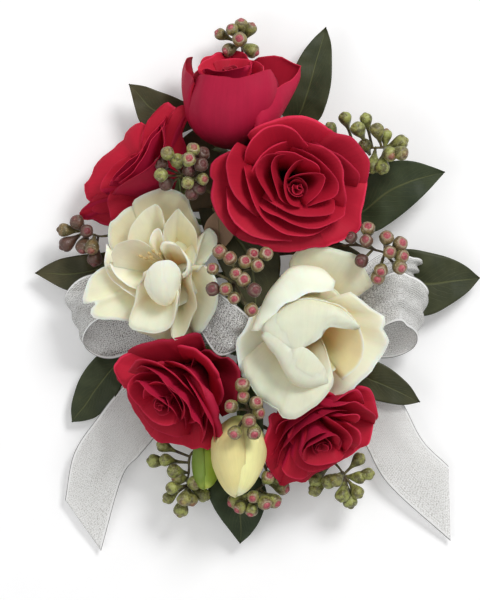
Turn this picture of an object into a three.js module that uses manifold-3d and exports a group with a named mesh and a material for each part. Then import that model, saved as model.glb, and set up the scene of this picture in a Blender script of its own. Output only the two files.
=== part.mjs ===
// A pin-on corsage: red spray roses, cream double freesias, seeded eucalyptus, leaves and a sheer
// ribbon bow, all wired and taped to one spine, with two pearl-headed pins through the spine.
// Millimetres. +Z points out of the corsage's front and +Y to its top. The origin lies on the
// spine's flat back, which rests against the wearer.

import * as THREE from "three";
import { mergeVertices } from "three/addons/utils/BufferGeometryUtils.js";
import Module from "manifold-3d";

const wasm = await Module();
wasm.setup();

// Driving dimensions
const REACH = 100; // from the origin to the top seeds: the places below are shares of it
const CLEARANCE = 0.3; // gap between pieces that touch
const MERGE = 1e-4; // vertices closer than this are one vertex

const SPINE = { topShare: 0.47, bottomShare: 0.62, width: 11, depth: 8, bevel: 2.6 };
const STEM = { radius: 1.3, steps: 4, sides: 5, bendShare: 0.25 };
const TWIG = { radiusShare: 0.0075, steps: 5, sides: 4, pedicelShare: 0.0055, marks: 24, bareMarks: 10 };
const POD = { radiusShare: 0.025, lengthShare: 0.062, sides: 5 };
const PETAL = { thickness: 0.8, foot: 5.6, step: 1.4, columns: 20, rows: 3, marks: 24, stagger: 2 };
const LOBE = { edgeShare: 0.03, sharpness: 2.5 };
const WALL = { shoulderAt: 0.6, riseShare: 1.05, spreadShare: 0.6 };
const HIP = { radius: 5.8, length: 9, floor: 1.6, sides: 8 };
const HEART = { wall: 0.9, turns: 1.75, steps: 10, core: 1.1, foot: 2.4 };
const STAMEN = { radius: 0.7, anther: 1.1, antherLength: 4.4, length: 17, spread: 3.2, count: 5, sides: 4 };
const BUD = { sides: 8, neck: 2.2 };
const LEAF = { thickness: 0.7, across: 2, along: 6, stalk: 0.8, inBladeShare: 0.12, steps: 4, sides: 4 };
const BLADE = { footShare: 0.1, belly: 0.85, roundness: 0.9, taper: 0.1 };
const RIBBON = { thickness: 0.6, across: 2, along: 12 };
const BINDING = { radius: 0.6, ring: 4.6, xShare: -0.01, yShare: -0.18, sides: 5, steps: 12 };
const PIN = { length: 50, radius: 0.5, point: 2, tip: 0.125, travel: 44, height: 3.4, sides: 6 };
const PEARL = { radius: 2.9, length: 6.4, socket: 4, neck: 1.4, sides: 8 };

// The colours and finishes of the materials
const finishes = {
  rose_petal: { color: 0xa81a2e, roughness: 0.62 },
  rose_heart: { color: 0x86101f, roughness: 0.65 },
  freesia_petal: { color: 0xece6c8, roughness: 0.6 },
  stamen: { color: 0xe2c870, roughness: 0.7 },
  bud_cream: { color: 0xe3dd9a, roughness: 0.55 },
  bud_green: { color: 0x86a032, roughness: 0.5 },
  leaf: { color: 0x3c4426, roughness: 0.55 },
  leaf_tan: { color: 0x8a745a, roughness: 0.7 },
  calyx: { color: 0x56642c, roughness: 0.6 },
  seed: { color: 0x8c8448, roughness: 0.6 },
  ribbon: { color: 0xcfcdc8, roughness: 0.4 },
  stem_tape: { color: 0x46552c, roughness: 0.8 },
  wire: { color: 0x9a9c9e, roughness: 0.35, metalness: 0.9 },
  pin_steel: { color: 0xb4b6ba, roughness: 0.25, metalness: 1 },
  pearl: { color: 0xf2eee6, roughness: 0.2 },
};

// Vectors and solids
const up = new THREE.Vector3(0, 0, 1);
const place = (shares) => new THREE.Vector3(...shares).multiplyScalar(REACH);
const aim = (shares) => new THREE.Vector3(...shares).normalize();
const radians = THREE.MathUtils.degToRad;
const blend = THREE.MathUtils.lerp;
const join = (solids) => wasm.Manifold.union(solids);

function solidOf(geometry) {
  const bare = new THREE.BufferGeometry();
  bare.setAttribute("position", geometry.getAttribute("position"));
  bare.setIndex(geometry.index);
  const merged = mergeVertices(bare, MERGE);
  return new wasm.Manifold(
    new wasm.Mesh({
      numProp: 3,
      vertProperties: merged.attributes.position.array,
      triVerts: new Uint32Array(merged.index.array),
    }),
  );
}

function geometryOf(solid) {
  const { vertProperties, triVerts } = solid.getMesh();
  const geometry = new THREE.BufferGeometry();
  geometry.setAttribute("position", new THREE.BufferAttribute(vertProperties, 3));
  geometry.setIndex(new THREE.BufferAttribute(triVerts, 1));
  geometry.computeVertexNormals();
  return geometry;
}

// The largest single body of a solid: what is left when a cut takes the tip off a petal.
function largest(solid) {
  const bodies = solid.decompose();
  return bodies.reduce((best, body) => (body.volume() > best.volume() ? body : best));
}

// A matrix that carries +Z to a direction and the origin to a point, after a turn about +Z.
function frameAt(origin, direction, turn = 0) {
  const tilt = new THREE.Quaternion().setFromUnitVectors(up, direction);
  const spin = new THREE.Quaternion().setFromAxisAngle(up, radians(turn));
  return new THREE.Matrix4().compose(origin, tilt.multiply(spin), new THREE.Vector3(1, 1, 1));
}

// A closed thin sheet about the middle surface point(u, v), u from -1 to 1 across and v from 0 to 1
// along. grow makes the room that its neighbours leave free around it.
function sheet(point, { across, along, thickness }, grow = 0) {
  const row = across + 1;
  const middle = [];
  for (let j = 0; j <= along; j++) {
    for (let i = 0; i <= across; i++) middle.push(point((2 * i) / across - 1, j / along));
  }
  const within = (x, most) => Math.min(Math.max(x, 0), most);
  const at = (i, j) => middle[within(j, along) * row + within(i, across)];
  const half = thickness / 2 + grow;
  const front = [];
  const back = [];
  for (let j = 0; j <= along; j++) {
    for (let i = 0; i <= across; i++) {
      const sideways = at(i + 1, j).clone().sub(at(i - 1, j)).normalize();
      const forward = at(i, j + 1).clone().sub(at(i, j - 1)).normalize();
      const normal = sideways.clone().cross(forward).normalize();
      const edge = at(i, j).clone();
      edge.addScaledVector(sideways, grow * ((i === across) - (i === 0)));
      edge.addScaledVector(forward, grow * ((j === along) - (j === 0)));
      front.push(edge.clone().addScaledVector(normal, half));
      back.push(edge.addScaledVector(normal, -half));
    }
  }
  const count = front.length;
  const faces = [];
  const quad = (a, b, c, d) => faces.push(a, b, c, a, c, d);
  for (let j = 0; j < along; j++) {
    const left = j * row;
    const right = left + across;
    for (let a = left; a < right; a++) {
      quad(a, a + 1, a + 1 + row, a + row);
      quad(count + a + row, count + a + 1 + row, count + a + 1, count + a);
    }
    quad(left, left + row, count + left + row, count + left);
    quad(right + row, right, count + right, count + right + row);
  }
  for (let i = 0; i < across; i++) {
    const far = along * row + i;
    quad(i + 1, i, count + i, count + i + 1);
    quad(far, far + 1, count + far + 1, count + far);
  }
  const geometry = new THREE.BufferGeometry().setFromPoints([...front, ...back]);
  geometry.setIndex(faces);
  return solidOf(geometry);
}

// A round rod along a curve.
function rod(curve, radius, steps, sides, grow = 0) {
  const section = new THREE.Shape();
  for (let i = 0; i < sides; i++) {
    const angle = (2 * Math.PI * i) / sides;
    const reach = radius + grow;
    section[i === 0 ? "moveTo" : "lineTo"](reach * Math.cos(angle), reach * Math.sin(angle));
  }
  const options = { steps, extrudePath: curve, bevelEnabled: false };
  return solidOf(new THREE.ExtrudeGeometry(section, options));
}

// A turned solid from [radius, height] pairs, which start and end on the axis and climb. grow
// widens it and lengthens both ends.
function turned(profile, sides, matrix, grow = 0) {
  const middle = (profile[0][1] + profile[profile.length - 1][1]) / 2;
  const points = profile.map(
    ([radius, height]) =>
      new THREE.Vector2(radius && radius + grow, height + grow * Math.sign(height - middle)),
  );
  const geometry = new THREE.LatheGeometry(points, sides);
  geometry.rotateX(Math.PI / 2);
  geometry.applyMatrix4(matrix);
  return solidOf(geometry);
}

const cylinder = (radius, from, to, sides, matrix, grow = 0) =>
  turned([[0, from], [radius, from], [radius, to], [0, to]], sides, matrix, grow);

// Where a stem goes into the spine, at a share of the reach.
const rootOf = (root) => new THREE.Vector3(0, root * REACH, SPINE.depth / 2);

// A stem that leaves its foot backwards and bends into the spine.
function stemCurve(foot, direction, root) {
  const end = rootOf(root);
  const bend = foot.clone().addScaledVector(direction, -foot.distanceTo(end) * STEM.bendShare);
  bend.z = Math.max(bend.z, SPINE.depth / 2);
  return new THREE.QuadraticBezierCurve3(foot, bend, end);
}

// Petals
// The [radius, height] of a petal's midline at a share t of its length. slopes are its angles above
// the seat's plane, in degrees, at the foot, the middle and the tip.
function petalMidline(foot, length, slopes) {
  const { marks } = PETAL;
  const [first, second, third] = slopes.map(radians);
  const slope = (t) =>
    first * (1 - t) * (1 - 2 * t) + second * 4 * t * (1 - t) + third * t * (2 * t - 1);
  const line = [[foot, 0]];
  for (let k = 1; k <= marks; k++) {
    const angle = (slope((k - 1) / marks) + slope(k / marks)) / 2;
    const [r, z] = line[k - 1];
    line.push([r + (Math.cos(angle) * length) / marks, z + (Math.sin(angle) * length) / marks]);
  }
  return (t) => {
    const k = Math.min(Math.floor(t * marks), marks - 1);
    const part = t * marks - k;
    return [0, 1].map((axis) => blend(line[k][axis], line[k + 1][axis], part));
  };
}

// A ring of petals as one lobed wall, by columns of points from its foot to its rim. Each petal's
// one edge stands outside the next petal, by the lap, and its rim drops towards both edges.
function ringColumns({ turn, foot, length, count, slopes, lap, drop, crown }) {
  const midline = petalMidline(foot, length, slopes);
  const perPetal = PETAL.columns / count;
  return Array.from({ length: PETAL.columns }, (_, i) => {
    const k = Math.floor(i / perPetal);
    const f = blend(LOBE.edgeShare, 1 - LOBE.edgeShare, (i % perPetal) / (perPetal - 1));
    const u = Math.abs(2 * f - 1);
    const angle = radians(turn + (360 * (k + f)) / count);
    return Array.from({ length: PETAL.rows + 1 }, (_, j) => {
      const t = (j / PETAL.rows) * (1 - drop * u ** LOBE.sharpness);
      const [r, z] = midline(t);
      const reach = r + t * length * ((lap * (2 * f - 1)) / 2 - crown * u * u);
      return new THREE.Vector3(reach * Math.cos(angle), reach * Math.sin(angle), z);
    });
  });
}

// A ring of petals through traced places, counterclockwise round the bloom's axis: its rim and, where
// its wall turns in, the shoulder below.
function tracedColumns({ rimShares, shoulderShares }, foot, matrix) {
  const inward = matrix.clone().invert();
  const trace = (shares) => {
    const curve = new THREE.CatmullRomCurve3(shares.map((p) => place(p).applyMatrix4(inward)), true);
    return Array.from({ length: PETAL.columns }, (_, i) => curve.getPoint(i / PETAL.columns));
  };
  const rims = trace(rimShares);
  const shoulders = shoulderShares && trace(shoulderShares);
  return rims.map((rim, i) => {
    const start = (shoulders ?? rims)[i].clone().setZ(0).setLength(foot);
    const bend = shoulders ? bendThrough(start, shoulders[i], rim) : wallBend(rim);
    const curve = new THREE.QuadraticBezierCurve3(start, bend, rim);
    return curve.getPoints(PETAL.rows);
  });
}

// The middle point of a curve that passes through its shoulder.
function bendThrough(start, shoulder, rim) {
  const t = WALL.shoulderAt;
  const bend = shoulder.clone().addScaledVector(start, -((1 - t) ** 2)).addScaledVector(rim, -t * t);
  return bend.divideScalar(2 * t * (1 - t));
}

const wallBend = ({ x, y, z }) =>
  new THREE.Vector3(x * WALL.spreadShare, y * WALL.spreadShare, z * WALL.riseShare);

// The columns of each ring of a bloom, from the outside in.
function bloomColumns({ turn, lengthShare, rings }, matrix) {
  return rings.map((ring, number) => {
    const foot = PETAL.foot - number * PETAL.step;
    if (ring.rimShares) return tracedColumns(ring, foot, matrix);
    const shift = number * PETAL.stagger;
    const facing = turn + (360 / PETAL.columns) * shift;
    const length = lengthShare * ring.sizeShare * REACH;
    const columns = ringColumns({ ...ring, turn: facing, foot, length });
    return columns.map((_, i) => columns[(i + columns.length - shift) % columns.length]);
  });
}

// Columns of points moved square to their ring's wall.
function movedColumns(columns, by) {
  const { length: count } = columns;
  const at = (i, j) => columns[(i + count) % count][Math.min(Math.max(j, 0), PETAL.rows)];
  return columns.map((column, i) =>
    column.map((point, j) => {
      const sideways = at(i + 1, j).clone().sub(at(i - 1, j));
      const normal = sideways.cross(at(i, j + 1).clone().sub(at(i, j - 1))).normalize();
      return point.clone().addScaledVector(normal, by);
    }),
  );
}

// A solid from columns of points that all start at one point and end at another, both on the axis.
function lofted(paths, matrix) {
  const marks = paths[0].length;
  const indices = [];
  for (let i = 0; i < paths.length; i++) {
    const here = i * marks;
    const next = ((i + 1) % paths.length) * marks;
    indices.push(0, next + 1, here + 1);
    for (let j = 1; j < marks - 2; j++) {
      indices.push(here + j, next + j, next + j + 1);
      indices.push(here + j, next + j + 1, here + j + 1);
    }
    indices.push(here + marks - 2, next + marks - 2, marks - 1);
  }
  const geometry = new THREE.BufferGeometry().setFromPoints(paths.flat());
  geometry.setIndex(indices);
  geometry.applyMatrix4(matrix);
  return solidOf(geometry);
}

// All the petals of a bloom as one solid: its rings, from the outside in, joined by a floor.
function petalCup(spec, matrix) {
  const paths = Array.from({ length: PETAL.columns }, () => [new THREE.Vector3()]);
  bloomColumns(spec, matrix).forEach((columns, number) => {
    const outer = movedColumns(columns, PETAL.thickness / 2);
    const inner = movedColumns(columns, -PETAL.thickness / 2);
    paths.forEach((path, i) => {
      outer[i][0].z = number === 0 ? 0 : HIP.floor;
      inner[i][0].z = HIP.floor;
      path.push(...outer[i], ...inner[i].reverse());
    });
  });
  for (const path of paths) path.push(new THREE.Vector3(0, 0, HIP.floor));
  return lofted(paths, matrix);
}

// The room round a bloom of traced petals: each of its rings filled in, with a margin.
function tracedRoom(spec, matrix) {
  const margin = PETAL.thickness / 2 + CLEARANCE;
  const rooms = bloomColumns(spec, matrix).map((columns) => {
    const top = Math.max(...columns.map((column) => column[PETAL.rows].z)) + margin;
    const paths = movedColumns(columns, margin).map((column) => {
      column[0].z = -CLEARANCE;
      const rim = column[PETAL.rows].clone().setZ(top);
      return [new THREE.Vector3(0, 0, -CLEARANCE), ...column, rim, new THREE.Vector3(0, 0, top)];
    });
    return lofted(paths, matrix);
  });
  return join(rooms);
}

// The room round a bloom: a turned cup just outside its outer petals.
function cupRoom({ lengthShare, rings }, matrix) {
  const margin = PETAL.thickness / 2 + CLEARANCE;
  const [{ slopes, lap }] = rings;
  const length = lengthShare * REACH;
  const midline = petalMidline(PETAL.foot, length, slopes);
  const profile = [[0, -CLEARANCE]];
  for (let k = 0; k <= PETAL.rows; k++) {
    const t = k / PETAL.rows;
    const [r, z] = midline(t);
    profile.push([r + (t * length * lap) / 2 + margin, k === 0 ? -CLEARANCE : z - margin]);
  }
  profile.push([profile[PETAL.rows + 1][0], profile[PETAL.rows + 1][1] + 2 * margin]);
  profile.push([0, profile[PETAL.rows + 2][1]]);
  return turned(profile, HIP.sides, matrix);
}

// A rose's rolled heart: one spiral wall that stands on the petals' floor and narrows to its foot.
function rolledHeart({ radiusShare, heightShare }, matrix) {
  const { wall: thick, turns, steps, core, foot } = HEART;
  const radius = radiusShare * REACH;
  const height = heightShare * REACH;
  const shape = new THREE.Shape();
  const edge = (k, offset) => {
    const angle = (2 * Math.PI * turns * k) / steps;
    const reach = blend(core, radius - thick, k / steps) + offset;
    return [reach * Math.cos(angle), reach * Math.sin(angle)];
  };
  for (let k = 0; k <= steps; k++) shape[k === 0 ? "moveTo" : "lineTo"](...edge(k, thick / 2));
  for (let k = steps; k >= 0; k--) shape.lineTo(...edge(k, -thick / 2));
  const geometry = new THREE.ExtrudeGeometry(shape, { depth: height, steps: 1, bevelEnabled: false });
  const points = geometry.getAttribute("position");
  for (let i = 0; i < points.count; i++) {
    const narrow = points.getZ(i) > 0 ? 1 : foot / radius;
    points.setXY(i, points.getX(i) * narrow, points.getY(i) * narrow);
  }
  geometry.translate(0, 0, HIP.floor + CLEARANCE);
  geometry.applyMatrix4(matrix);
  return solidOf(geometry);
}

// Stamens and a style on a small boss.
function stamens(matrix) {
  const { radius, anther, antherLength, length, spread, count, sides } = STAMEN;
  const floor = HIP.floor + CLEARANCE;
  const boss = HEART.foot - radius;
  const rods = Array.from({ length: count }, (_, k) => {
    const angle = (2 * Math.PI * k) / count;
    const lean = aim([Math.cos(angle) * spread, Math.sin(angle) * spread, length]);
    const start = new THREE.Vector3(0, 0, floor);
    const local = new THREE.Matrix4().multiplyMatrices(matrix, frameAt(start, lean));
    const profile = [
      [0, 0],
      [radius, 0],
      [radius, length - antherLength],
      [anther, length - antherLength / 2],
      [0, length],
    ];
    return turned(profile, sides, local);
  });
  return join([cylinder(boss, floor, floor + anther, HIP.sides, matrix), ...rods]);
}

// The room of a heart or of the stamens, which the petals round it leave free.
function heartRoom({ radiusShare, heightShare }, matrix) {
  const top = HIP.floor + CLEARANCE + heightShare * REACH;
  const profile = [
    [0, HIP.floor],
    [HEART.foot, HIP.floor],
    [radiusShare * REACH, top],
    [0, top],
  ];
  return turned(profile, HIP.sides, matrix, CLEARANCE);
}

// A hip under the petals and the taped wire stem that holds it.
function hipAndStem({ seatShares, axisShares, root }, grow = 0) {
  const seat = place(seatShares);
  const axis = aim(axisShares);
  const matrix = frameAt(seat, axis);
  const profileShares = [
    [0, -1],
    [0.45, -1],
    [0.9, -0.62],
    [1, -0.3],
    [0.72, 0],
    [0, 0],
  ];
  const profile = profileShares.map(([r, z]) => [r * HIP.radius, z * HIP.length - CLEARANCE]);
  const foot = seat.clone().addScaledVector(axis, -HIP.length);
  const stem = rod(stemCurve(foot, axis, root), STEM.radius, STEM.steps, STEM.sides, grow);
  const from = -HIP.length - STEM.radius;
  const plug = cylinder(STEM.radius, from, -HIP.length / 2, STEM.sides, matrix, grow);
  return join([turned(profile, HIP.sides, matrix, grow), plug, stem]);
}

// A bloom's rings of petals, from the outside in
const openRose = [
  { count: 5, slopes: [72, 46, 0], lap: 0.16, drop: 0.14, crown: 0.02, sizeShare: 1 },
  { count: 5, slopes: [84, 62, 32], lap: 0.14, drop: 0.12, crown: 0.02, sizeShare: 0.9 },
  { count: 4, slopes: [87, 78, 62], lap: 0.14, drop: 0.12, crown: 0.02, sizeShare: 0.8 },
];
const cupRose = [
  { count: 5, slopes: [62, 56, 20], lap: 0.14, drop: 0.14, crown: 0.02, sizeShare: 1 },
  { count: 4, slopes: [82, 74, 52], lap: 0.14, drop: 0.12, crown: 0.02, sizeShare: 0.9 },
];
const innerRose = { count: 4, slopes: [70, 86, 80], lap: 0.12, drop: 0.1, crown: 0.02, sizeShare: 0.92 };

// The blooms. seat is where the petals meet the hip, and axis is where the bloom looks. root is
// where its stem goes into the spine.
const roses = {
  rose_centre: {
    seatShares: [0.14, 0.45, 0.22],
    axisShares: [0.16, -0.16, 0.97],
    root: 0.4,
    turn: 30,
    lengthShare: 0.36,
    rings: openRose,
    heart: { radiusShare: 0.06, heightShare: 0.24 },
  },
  rose_top: {
    seatShares: [-0.04, 0.56, 0.17],
    axisShares: [-0.15, 0.91, 0.38],
    root: 0.45,
    turn: -60,
    lengthShare: 0.37,
    rings: [
      {
        rimShares: [
          [-0.077, 0.846, 0.47],
          [0.02, 0.864, 0.46],
          [0.137, 0.823, 0.39],
          [0.192, 0.888, 0.26],
          [0.112, 0.936, 0.21],
          [0, 0.932, 0.14],
          [-0.128, 0.948, 0.13],
          [-0.228, 0.932, 0.18],
          [-0.258, 0.892, 0.25],
          [-0.21, 0.856, 0.41],
        ],
        shoulderShares: [
          [-0.056, 0.72, 0.48],
          [0.034, 0.72, 0.45],
          [0.1, 0.68, 0.4],
          [0.164, 0.768, 0.32],
          [0.128, 0.848, 0.2],
          [0.008, 0.824, 0.12],
          [-0.128, 0.824, 0.11],
          [-0.248, 0.832, 0.17],
          [-0.26, 0.808, 0.26],
          [-0.216, 0.74, 0.4],
        ],
      },
      innerRose,
    ],
    heart: { radiusShare: 0.06, heightShare: 0.27 },
  },
  rose_lower_left: {
    seatShares: [-0.17, -0.29, 0.16],
    axisShares: [-0.52, -0.48, 0.7],
    root: -0.27,
    rings: [
      {
        rimShares: [
          [-0.048, -0.332, 0.3],
          [-0.16, -0.244, 0.31],
          [-0.26, -0.19, 0.33],
          [-0.4, -0.216, 0.31],
          [-0.52, -0.288, 0.25],
          [-0.512, -0.376, 0.24],
          [-0.44, -0.508, 0.24],
          [-0.372, -0.604, 0.23],
          [-0.2, -0.624, 0.23],
          [-0.072, -0.488, 0.29],
        ],
      },
      {
        rimShares: [
          [-0.128, -0.48, 0.35],
          [-0.17, -0.392, 0.4],
          [-0.252, -0.346, 0.42],
          [-0.36, -0.296, 0.43],
          [-0.444, -0.284, 0.42],
          [-0.48, -0.36, 0.38],
          [-0.468, -0.436, 0.34],
          [-0.4, -0.536, 0.32],
          [-0.28, -0.584, 0.31],
          [-0.152, -0.584, 0.3],
        ],
      },
      {
        rimShares: [
          [-0.22, -0.46, 0.42],
          [-0.28, -0.418, 0.45],
          [-0.328, -0.374, 0.46],
          [-0.372, -0.336, 0.46],
          [-0.42, -0.316, 0.43],
          [-0.448, -0.36, 0.4],
          [-0.44, -0.43, 0.385],
          [-0.39, -0.5, 0.37],
          [-0.31, -0.54, 0.37],
          [-0.24, -0.52, 0.39],
        ],
      },
    ],
    heart: { radiusShare: 0.055, heightShare: 0.21 },
  },
  rose_lower_right: {
    seatShares: [0.2, -0.4, 0.17],
    axisShares: [0.27, -0.72, 0.64],
    root: -0.33,
    turn: 40,
    lengthShare: 0.28,
    rings: cupRose,
    heart: { radiusShare: 0.05, heightShare: 0.19 },
  },
  rose_upper_left: {
    seatShares: [-0.316, 0.358, 0.15],
    axisShares: [-0.66, 0.65, 0.46],
    root: 0.3,
    turn: 10,
    lengthShare: 0.31,
    rings: cupRose,
    heart: { radiusShare: 0.055, heightShare: 0.2 },
  },
};

const freesias = {
  freesia_right: {
    seatShares: [0.22, -0.1, 0.18],
    axisShares: [0.08, -0.2, 0.97],
    root: -0.05,
    rings: [
      {
        rimShares: [
          [0.545, -0.15, 0.31],
          [0.49, 0.02, 0.29],
          [0.37, 0.15, 0.31],
          [0.22, 0.165, 0.33],
          [0.1, 0.03, 0.33],
          [-0.015, -0.15, 0.32],
          [-0.045, -0.3, 0.3],
          [0.05, -0.44, 0.29],
          [0.2, -0.505, 0.31],
          [0.42, -0.385, 0.28],
        ],
      },
      {
        rimShares: [
          [0.455, -0.205, 0.41],
          [0.41, -0.15, 0.435],
          [0.34, -0.14, 0.445],
          [0.275, -0.17, 0.455],
          [0.2, -0.2, 0.46],
          [0.12, -0.18, 0.455],
          [0.12, -0.215, 0.455],
          [0.175, -0.25, 0.46],
          [0.245, -0.265, 0.455],
          [0.31, -0.35, 0.42],
        ],
        shoulderShares: [
          [0.4, -0.18, 0.346],
          [0.41, -0.115, 0.41],
          [0.345, -0.065, 0.42],
          [0.25, -0.04, 0.42],
          [0.15, -0.065, 0.415],
          [0.07, -0.135, 0.4],
          [0.06, -0.215, 0.4],
          [0.13, -0.315, 0.4],
          [0.2, -0.38, 0.4],
          [0.32, -0.345, 0.36],
        ],
      },
    ],
  },
  freesia_left: {
    seatShares: [-0.31, 0.07, 0.16],
    axisShares: [-0.16, 0.06, 0.98],
    root: 0.06,
    rings: [
      {
        rimShares: [
          [-0.135, 0, 0.25],
          [-0.145, 0.2, 0.27],
          [-0.225, 0.33, 0.27],
          [-0.34, 0.4, 0.29],
          [-0.5, 0.33, 0.25],
          [-0.575, 0.2, 0.24],
          [-0.61, 0.05, 0.26],
          [-0.58, -0.09, 0.26],
          [-0.45, -0.17, 0.26],
          [-0.26, -0.19, 0.25],
        ],
      },
      {
        rimShares: [
          [-0.225, 0.03, 0.36],
          [-0.215, 0.19, 0.34],
          [-0.27, 0.3, 0.37],
          [-0.36, 0.26, 0.36],
          [-0.44, 0.3, 0.35],
          [-0.5, 0.2, 0.36],
          [-0.55, 0.13, 0.35],
          [-0.545, 0.03, 0.31],
          [-0.47, -0.13, 0.32],
          [-0.29, -0.15, 0.33],
        ],
      },
      {
        rimShares: [
          [-0.262, 0.08, 0.43],
          [-0.265, 0.14, 0.44],
          [-0.3, 0.175, 0.43],
          [-0.34, 0.18, 0.42],
          [-0.385, 0.165, 0.4],
          [-0.42, 0.13, 0.4],
          [-0.415, 0.085, 0.42],
          [-0.385, 0.1, 0.445],
          [-0.35, 0.112, 0.45],
          [-0.305, 0.105, 0.44],
        ],
        shoulderShares: [
          [-0.255, 0.05, 0.38],
          [-0.25, 0.14, 0.39],
          [-0.28, 0.19, 0.39],
          [-0.34, 0.2, 0.37],
          [-0.39, 0.185, 0.36],
          [-0.435, 0.13, 0.37],
          [-0.43, 0.05, 0.38],
          [-0.41, 0, 0.4],
          [-0.36, -0.035, 0.41],
          [-0.29, -0.01, 0.4],
        ],
      },
    ],
  },
};

// The closed buds: a turned bud on its own short stem.
const buds = {
  bud_cream: {
    finish: "bud_cream",
    seatShares: [-0.035, -0.52, 0.2],
    axisShares: [-0.06, -0.93, 0.36],
    root: -0.44,
    lengthShare: 0.33,
    radiusShare: 0.108,
  },
  bud_green: {
    finish: "bud_green",
    seatShares: [-0.12, -0.59, 0.13],
    axisShares: [-0.28, -0.9, 0.33],
    root: -0.53,
    lengthShare: 0.22,
    radiusShare: 0.048,
  },
};

function bud({ seatShares, axisShares, root, lengthShare, radiusShare }, grow = 0) {
  const profileShares = [
    [0, 0],
    [0.5, 0.04],
    [0.92, 0.26],
    [1, 0.45],
    [0.74, 0.74],
    [0.3, 0.95],
    [0, 1],
  ];
  const seat = place(seatShares);
  const axis = aim(axisShares);
  const matrix = frameAt(seat, axis);
  const profile = profileShares.map(([r, z]) => [r * radiusShare * REACH, z * lengthShare * REACH]);
  const stem = rod(stemCurve(seat, axis, root), STEM.radius, STEM.steps, STEM.sides, grow);
  const neck = cylinder(BUD.neck, -BUD.neck, BUD.neck, BUD.sides, matrix, grow);
  return join([turned(profile, BUD.sides, matrix, grow), neck, stem]);
}

// Leaves: base and tip of the midrib, how far its middle is lifted, its width, how far its halves
// fold up in degrees, where its stalk goes into the spine, and the stalk's bends on its way there.
const leaves = {
  leaf_top_right: {
    baseShares: [0.17, 0.66, 0.09],
    tipShares: [0.304, 1.052, 0.1],
    liftShare: 0.03,
    widthShare: 0.17,
    fold: 16,
    root: 0.43,
  },
  leaf_top_left: {
    baseShares: [-0.24, 0.66, 0.1],
    tipShares: [-0.476, 0.82, 0.12],
    liftShare: 0.02,
    widthShare: 0.16,
    fold: 14,
    root: 0.42,
  },
  leaf_right_upper: {
    baseShares: [0.42, 0.3, 0.11],
    tipShares: [0.78, 0.472, 0.14],
    liftShare: 0.03,
    widthShare: 0.25,
    fold: 12,
    root: 0.3,
  },
  leaf_right: {
    baseShares: [0.56, 0.07, 0.07],
    tipShares: [0.92, 0.048, 0.05],
    liftShare: 0.02,
    widthShare: 0.26,
    fold: 10,
    root: 0.05,
  },
  leaf_right_lower: {
    baseShares: [0.4, -0.3, 0.1],
    tipShares: [0.68, -0.448, 0.1],
    liftShare: 0.02,
    widthShare: 0.15,
    fold: 14,
    root: -0.28,
    stalkShares: [[0.34, -0.32, 0.16], [0.25, -0.26, 0.21], [0.14, -0.25, 0.2], [0.065, -0.27, 0.14]],
  },
  leaf_left_lower: {
    baseShares: [-0.5, -0.24, 0.04],
    tipShares: [-0.712, -0.528, 0.03],
    liftShare: 0.01,
    widthShare: 0.19,
    fold: 8,
    root: -0.12,
  },
  leaf_left: {
    baseShares: [-0.54, 0.11, 0.09],
    tipShares: [-0.86, 0.068, 0.05],
    liftShare: 0.02,
    widthShare: 0.14,
    fold: 14,
    root: -0.03,
    stalkShares: [[-0.28, -0.02, 0.045]],
  },
  leaf_bottom: {
    baseShares: [-0.05, -0.72, 0.09],
    tipShares: [-0.044, -1.014, 0.05],
    liftShare: 0.02,
    widthShare: 0.22,
    fold: 14,
    root: -0.6,
  },
  leaf_left_upper: {
    baseShares: [-0.36, 0.42, 0.05],
    tipShares: [-0.56, 0.33, 0.09],
    liftShare: 0.01,
    widthShare: 0.12,
    fold: 10,
    root: 0.26,
  },
  leaf_middle: {
    baseShares: [-0.1, 0.2, 0.2],
    tipShares: [0.02, -0.12, 0.22],
    liftShare: 0.02,
    widthShare: 0.22,
    fold: 12,
    root: 0.22,
  },
  leaf_tan: {
    baseShares: [-0.1, 0.19, 0.26],
    tipShares: [-0.13, 0.31, 0.34],
    liftShare: 0.01,
    widthShare: 0.11,
    fold: 16,
    root: 0.26,
    stalkShares: [[-0.06, 0.23, 0.16]],
  },
  leaf_olive: {
    baseShares: [0.26, 0.2, 0.2],
    tipShares: [0.46, 0.13, 0.21],
    liftShare: 0.01,
    widthShare: 0.09,
    fold: 14,
    root: 0.2,
  },
};

// Half the width of a leaf's blade at a share of its length.
function halfWidth(width, v) {
  const { footShare, belly, roundness, taper } = BLADE;
  const shape = Math.sin(Math.PI * v ** belly) ** roundness * (1 - taper * v);
  return (width / 2) * blend(footShare, 1, shape);
}

function leaf({ baseShares, tipShares, liftShare, widthShare, fold, root, stalkShares }, grow = 0) {
  const base = place(baseShares);
  const tip = place(tipShares);
  const middle = base.clone().lerp(tip, 0.5).addScaledVector(up, 2 * liftShare * REACH);
  const midrib = new THREE.QuadraticBezierCurve3(base, middle, tip);
  const across = up.clone().cross(tip.clone().sub(base)).normalize();
  const slope = Math.tan(radians(fold));
  const point = (u, v) => {
    const half = halfWidth(widthShare * REACH, v);
    const spine = midrib.getPoint(v);
    return spine.addScaledVector(across, -u * half).addScaledVector(up, Math.abs(u) * half * slope);
  };
  const stalkEnd = rootOf(root);
  const bends = stalkShares ? stalkShares.map(place) : [base.clone().lerp(stalkEnd, 0.5)];
  const inBlade = midrib.getPoint(LEAF.inBladeShare);
  const path = new THREE.CatmullRomCurve3([inBlade, base, ...bends, stalkEnd]);
  const steps = LEAF.steps * bends.length;
  return join([sheet(point, LEAF, grow), rod(path, LEAF.stalk, steps, LEAF.sides, grow)]);
}

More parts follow.
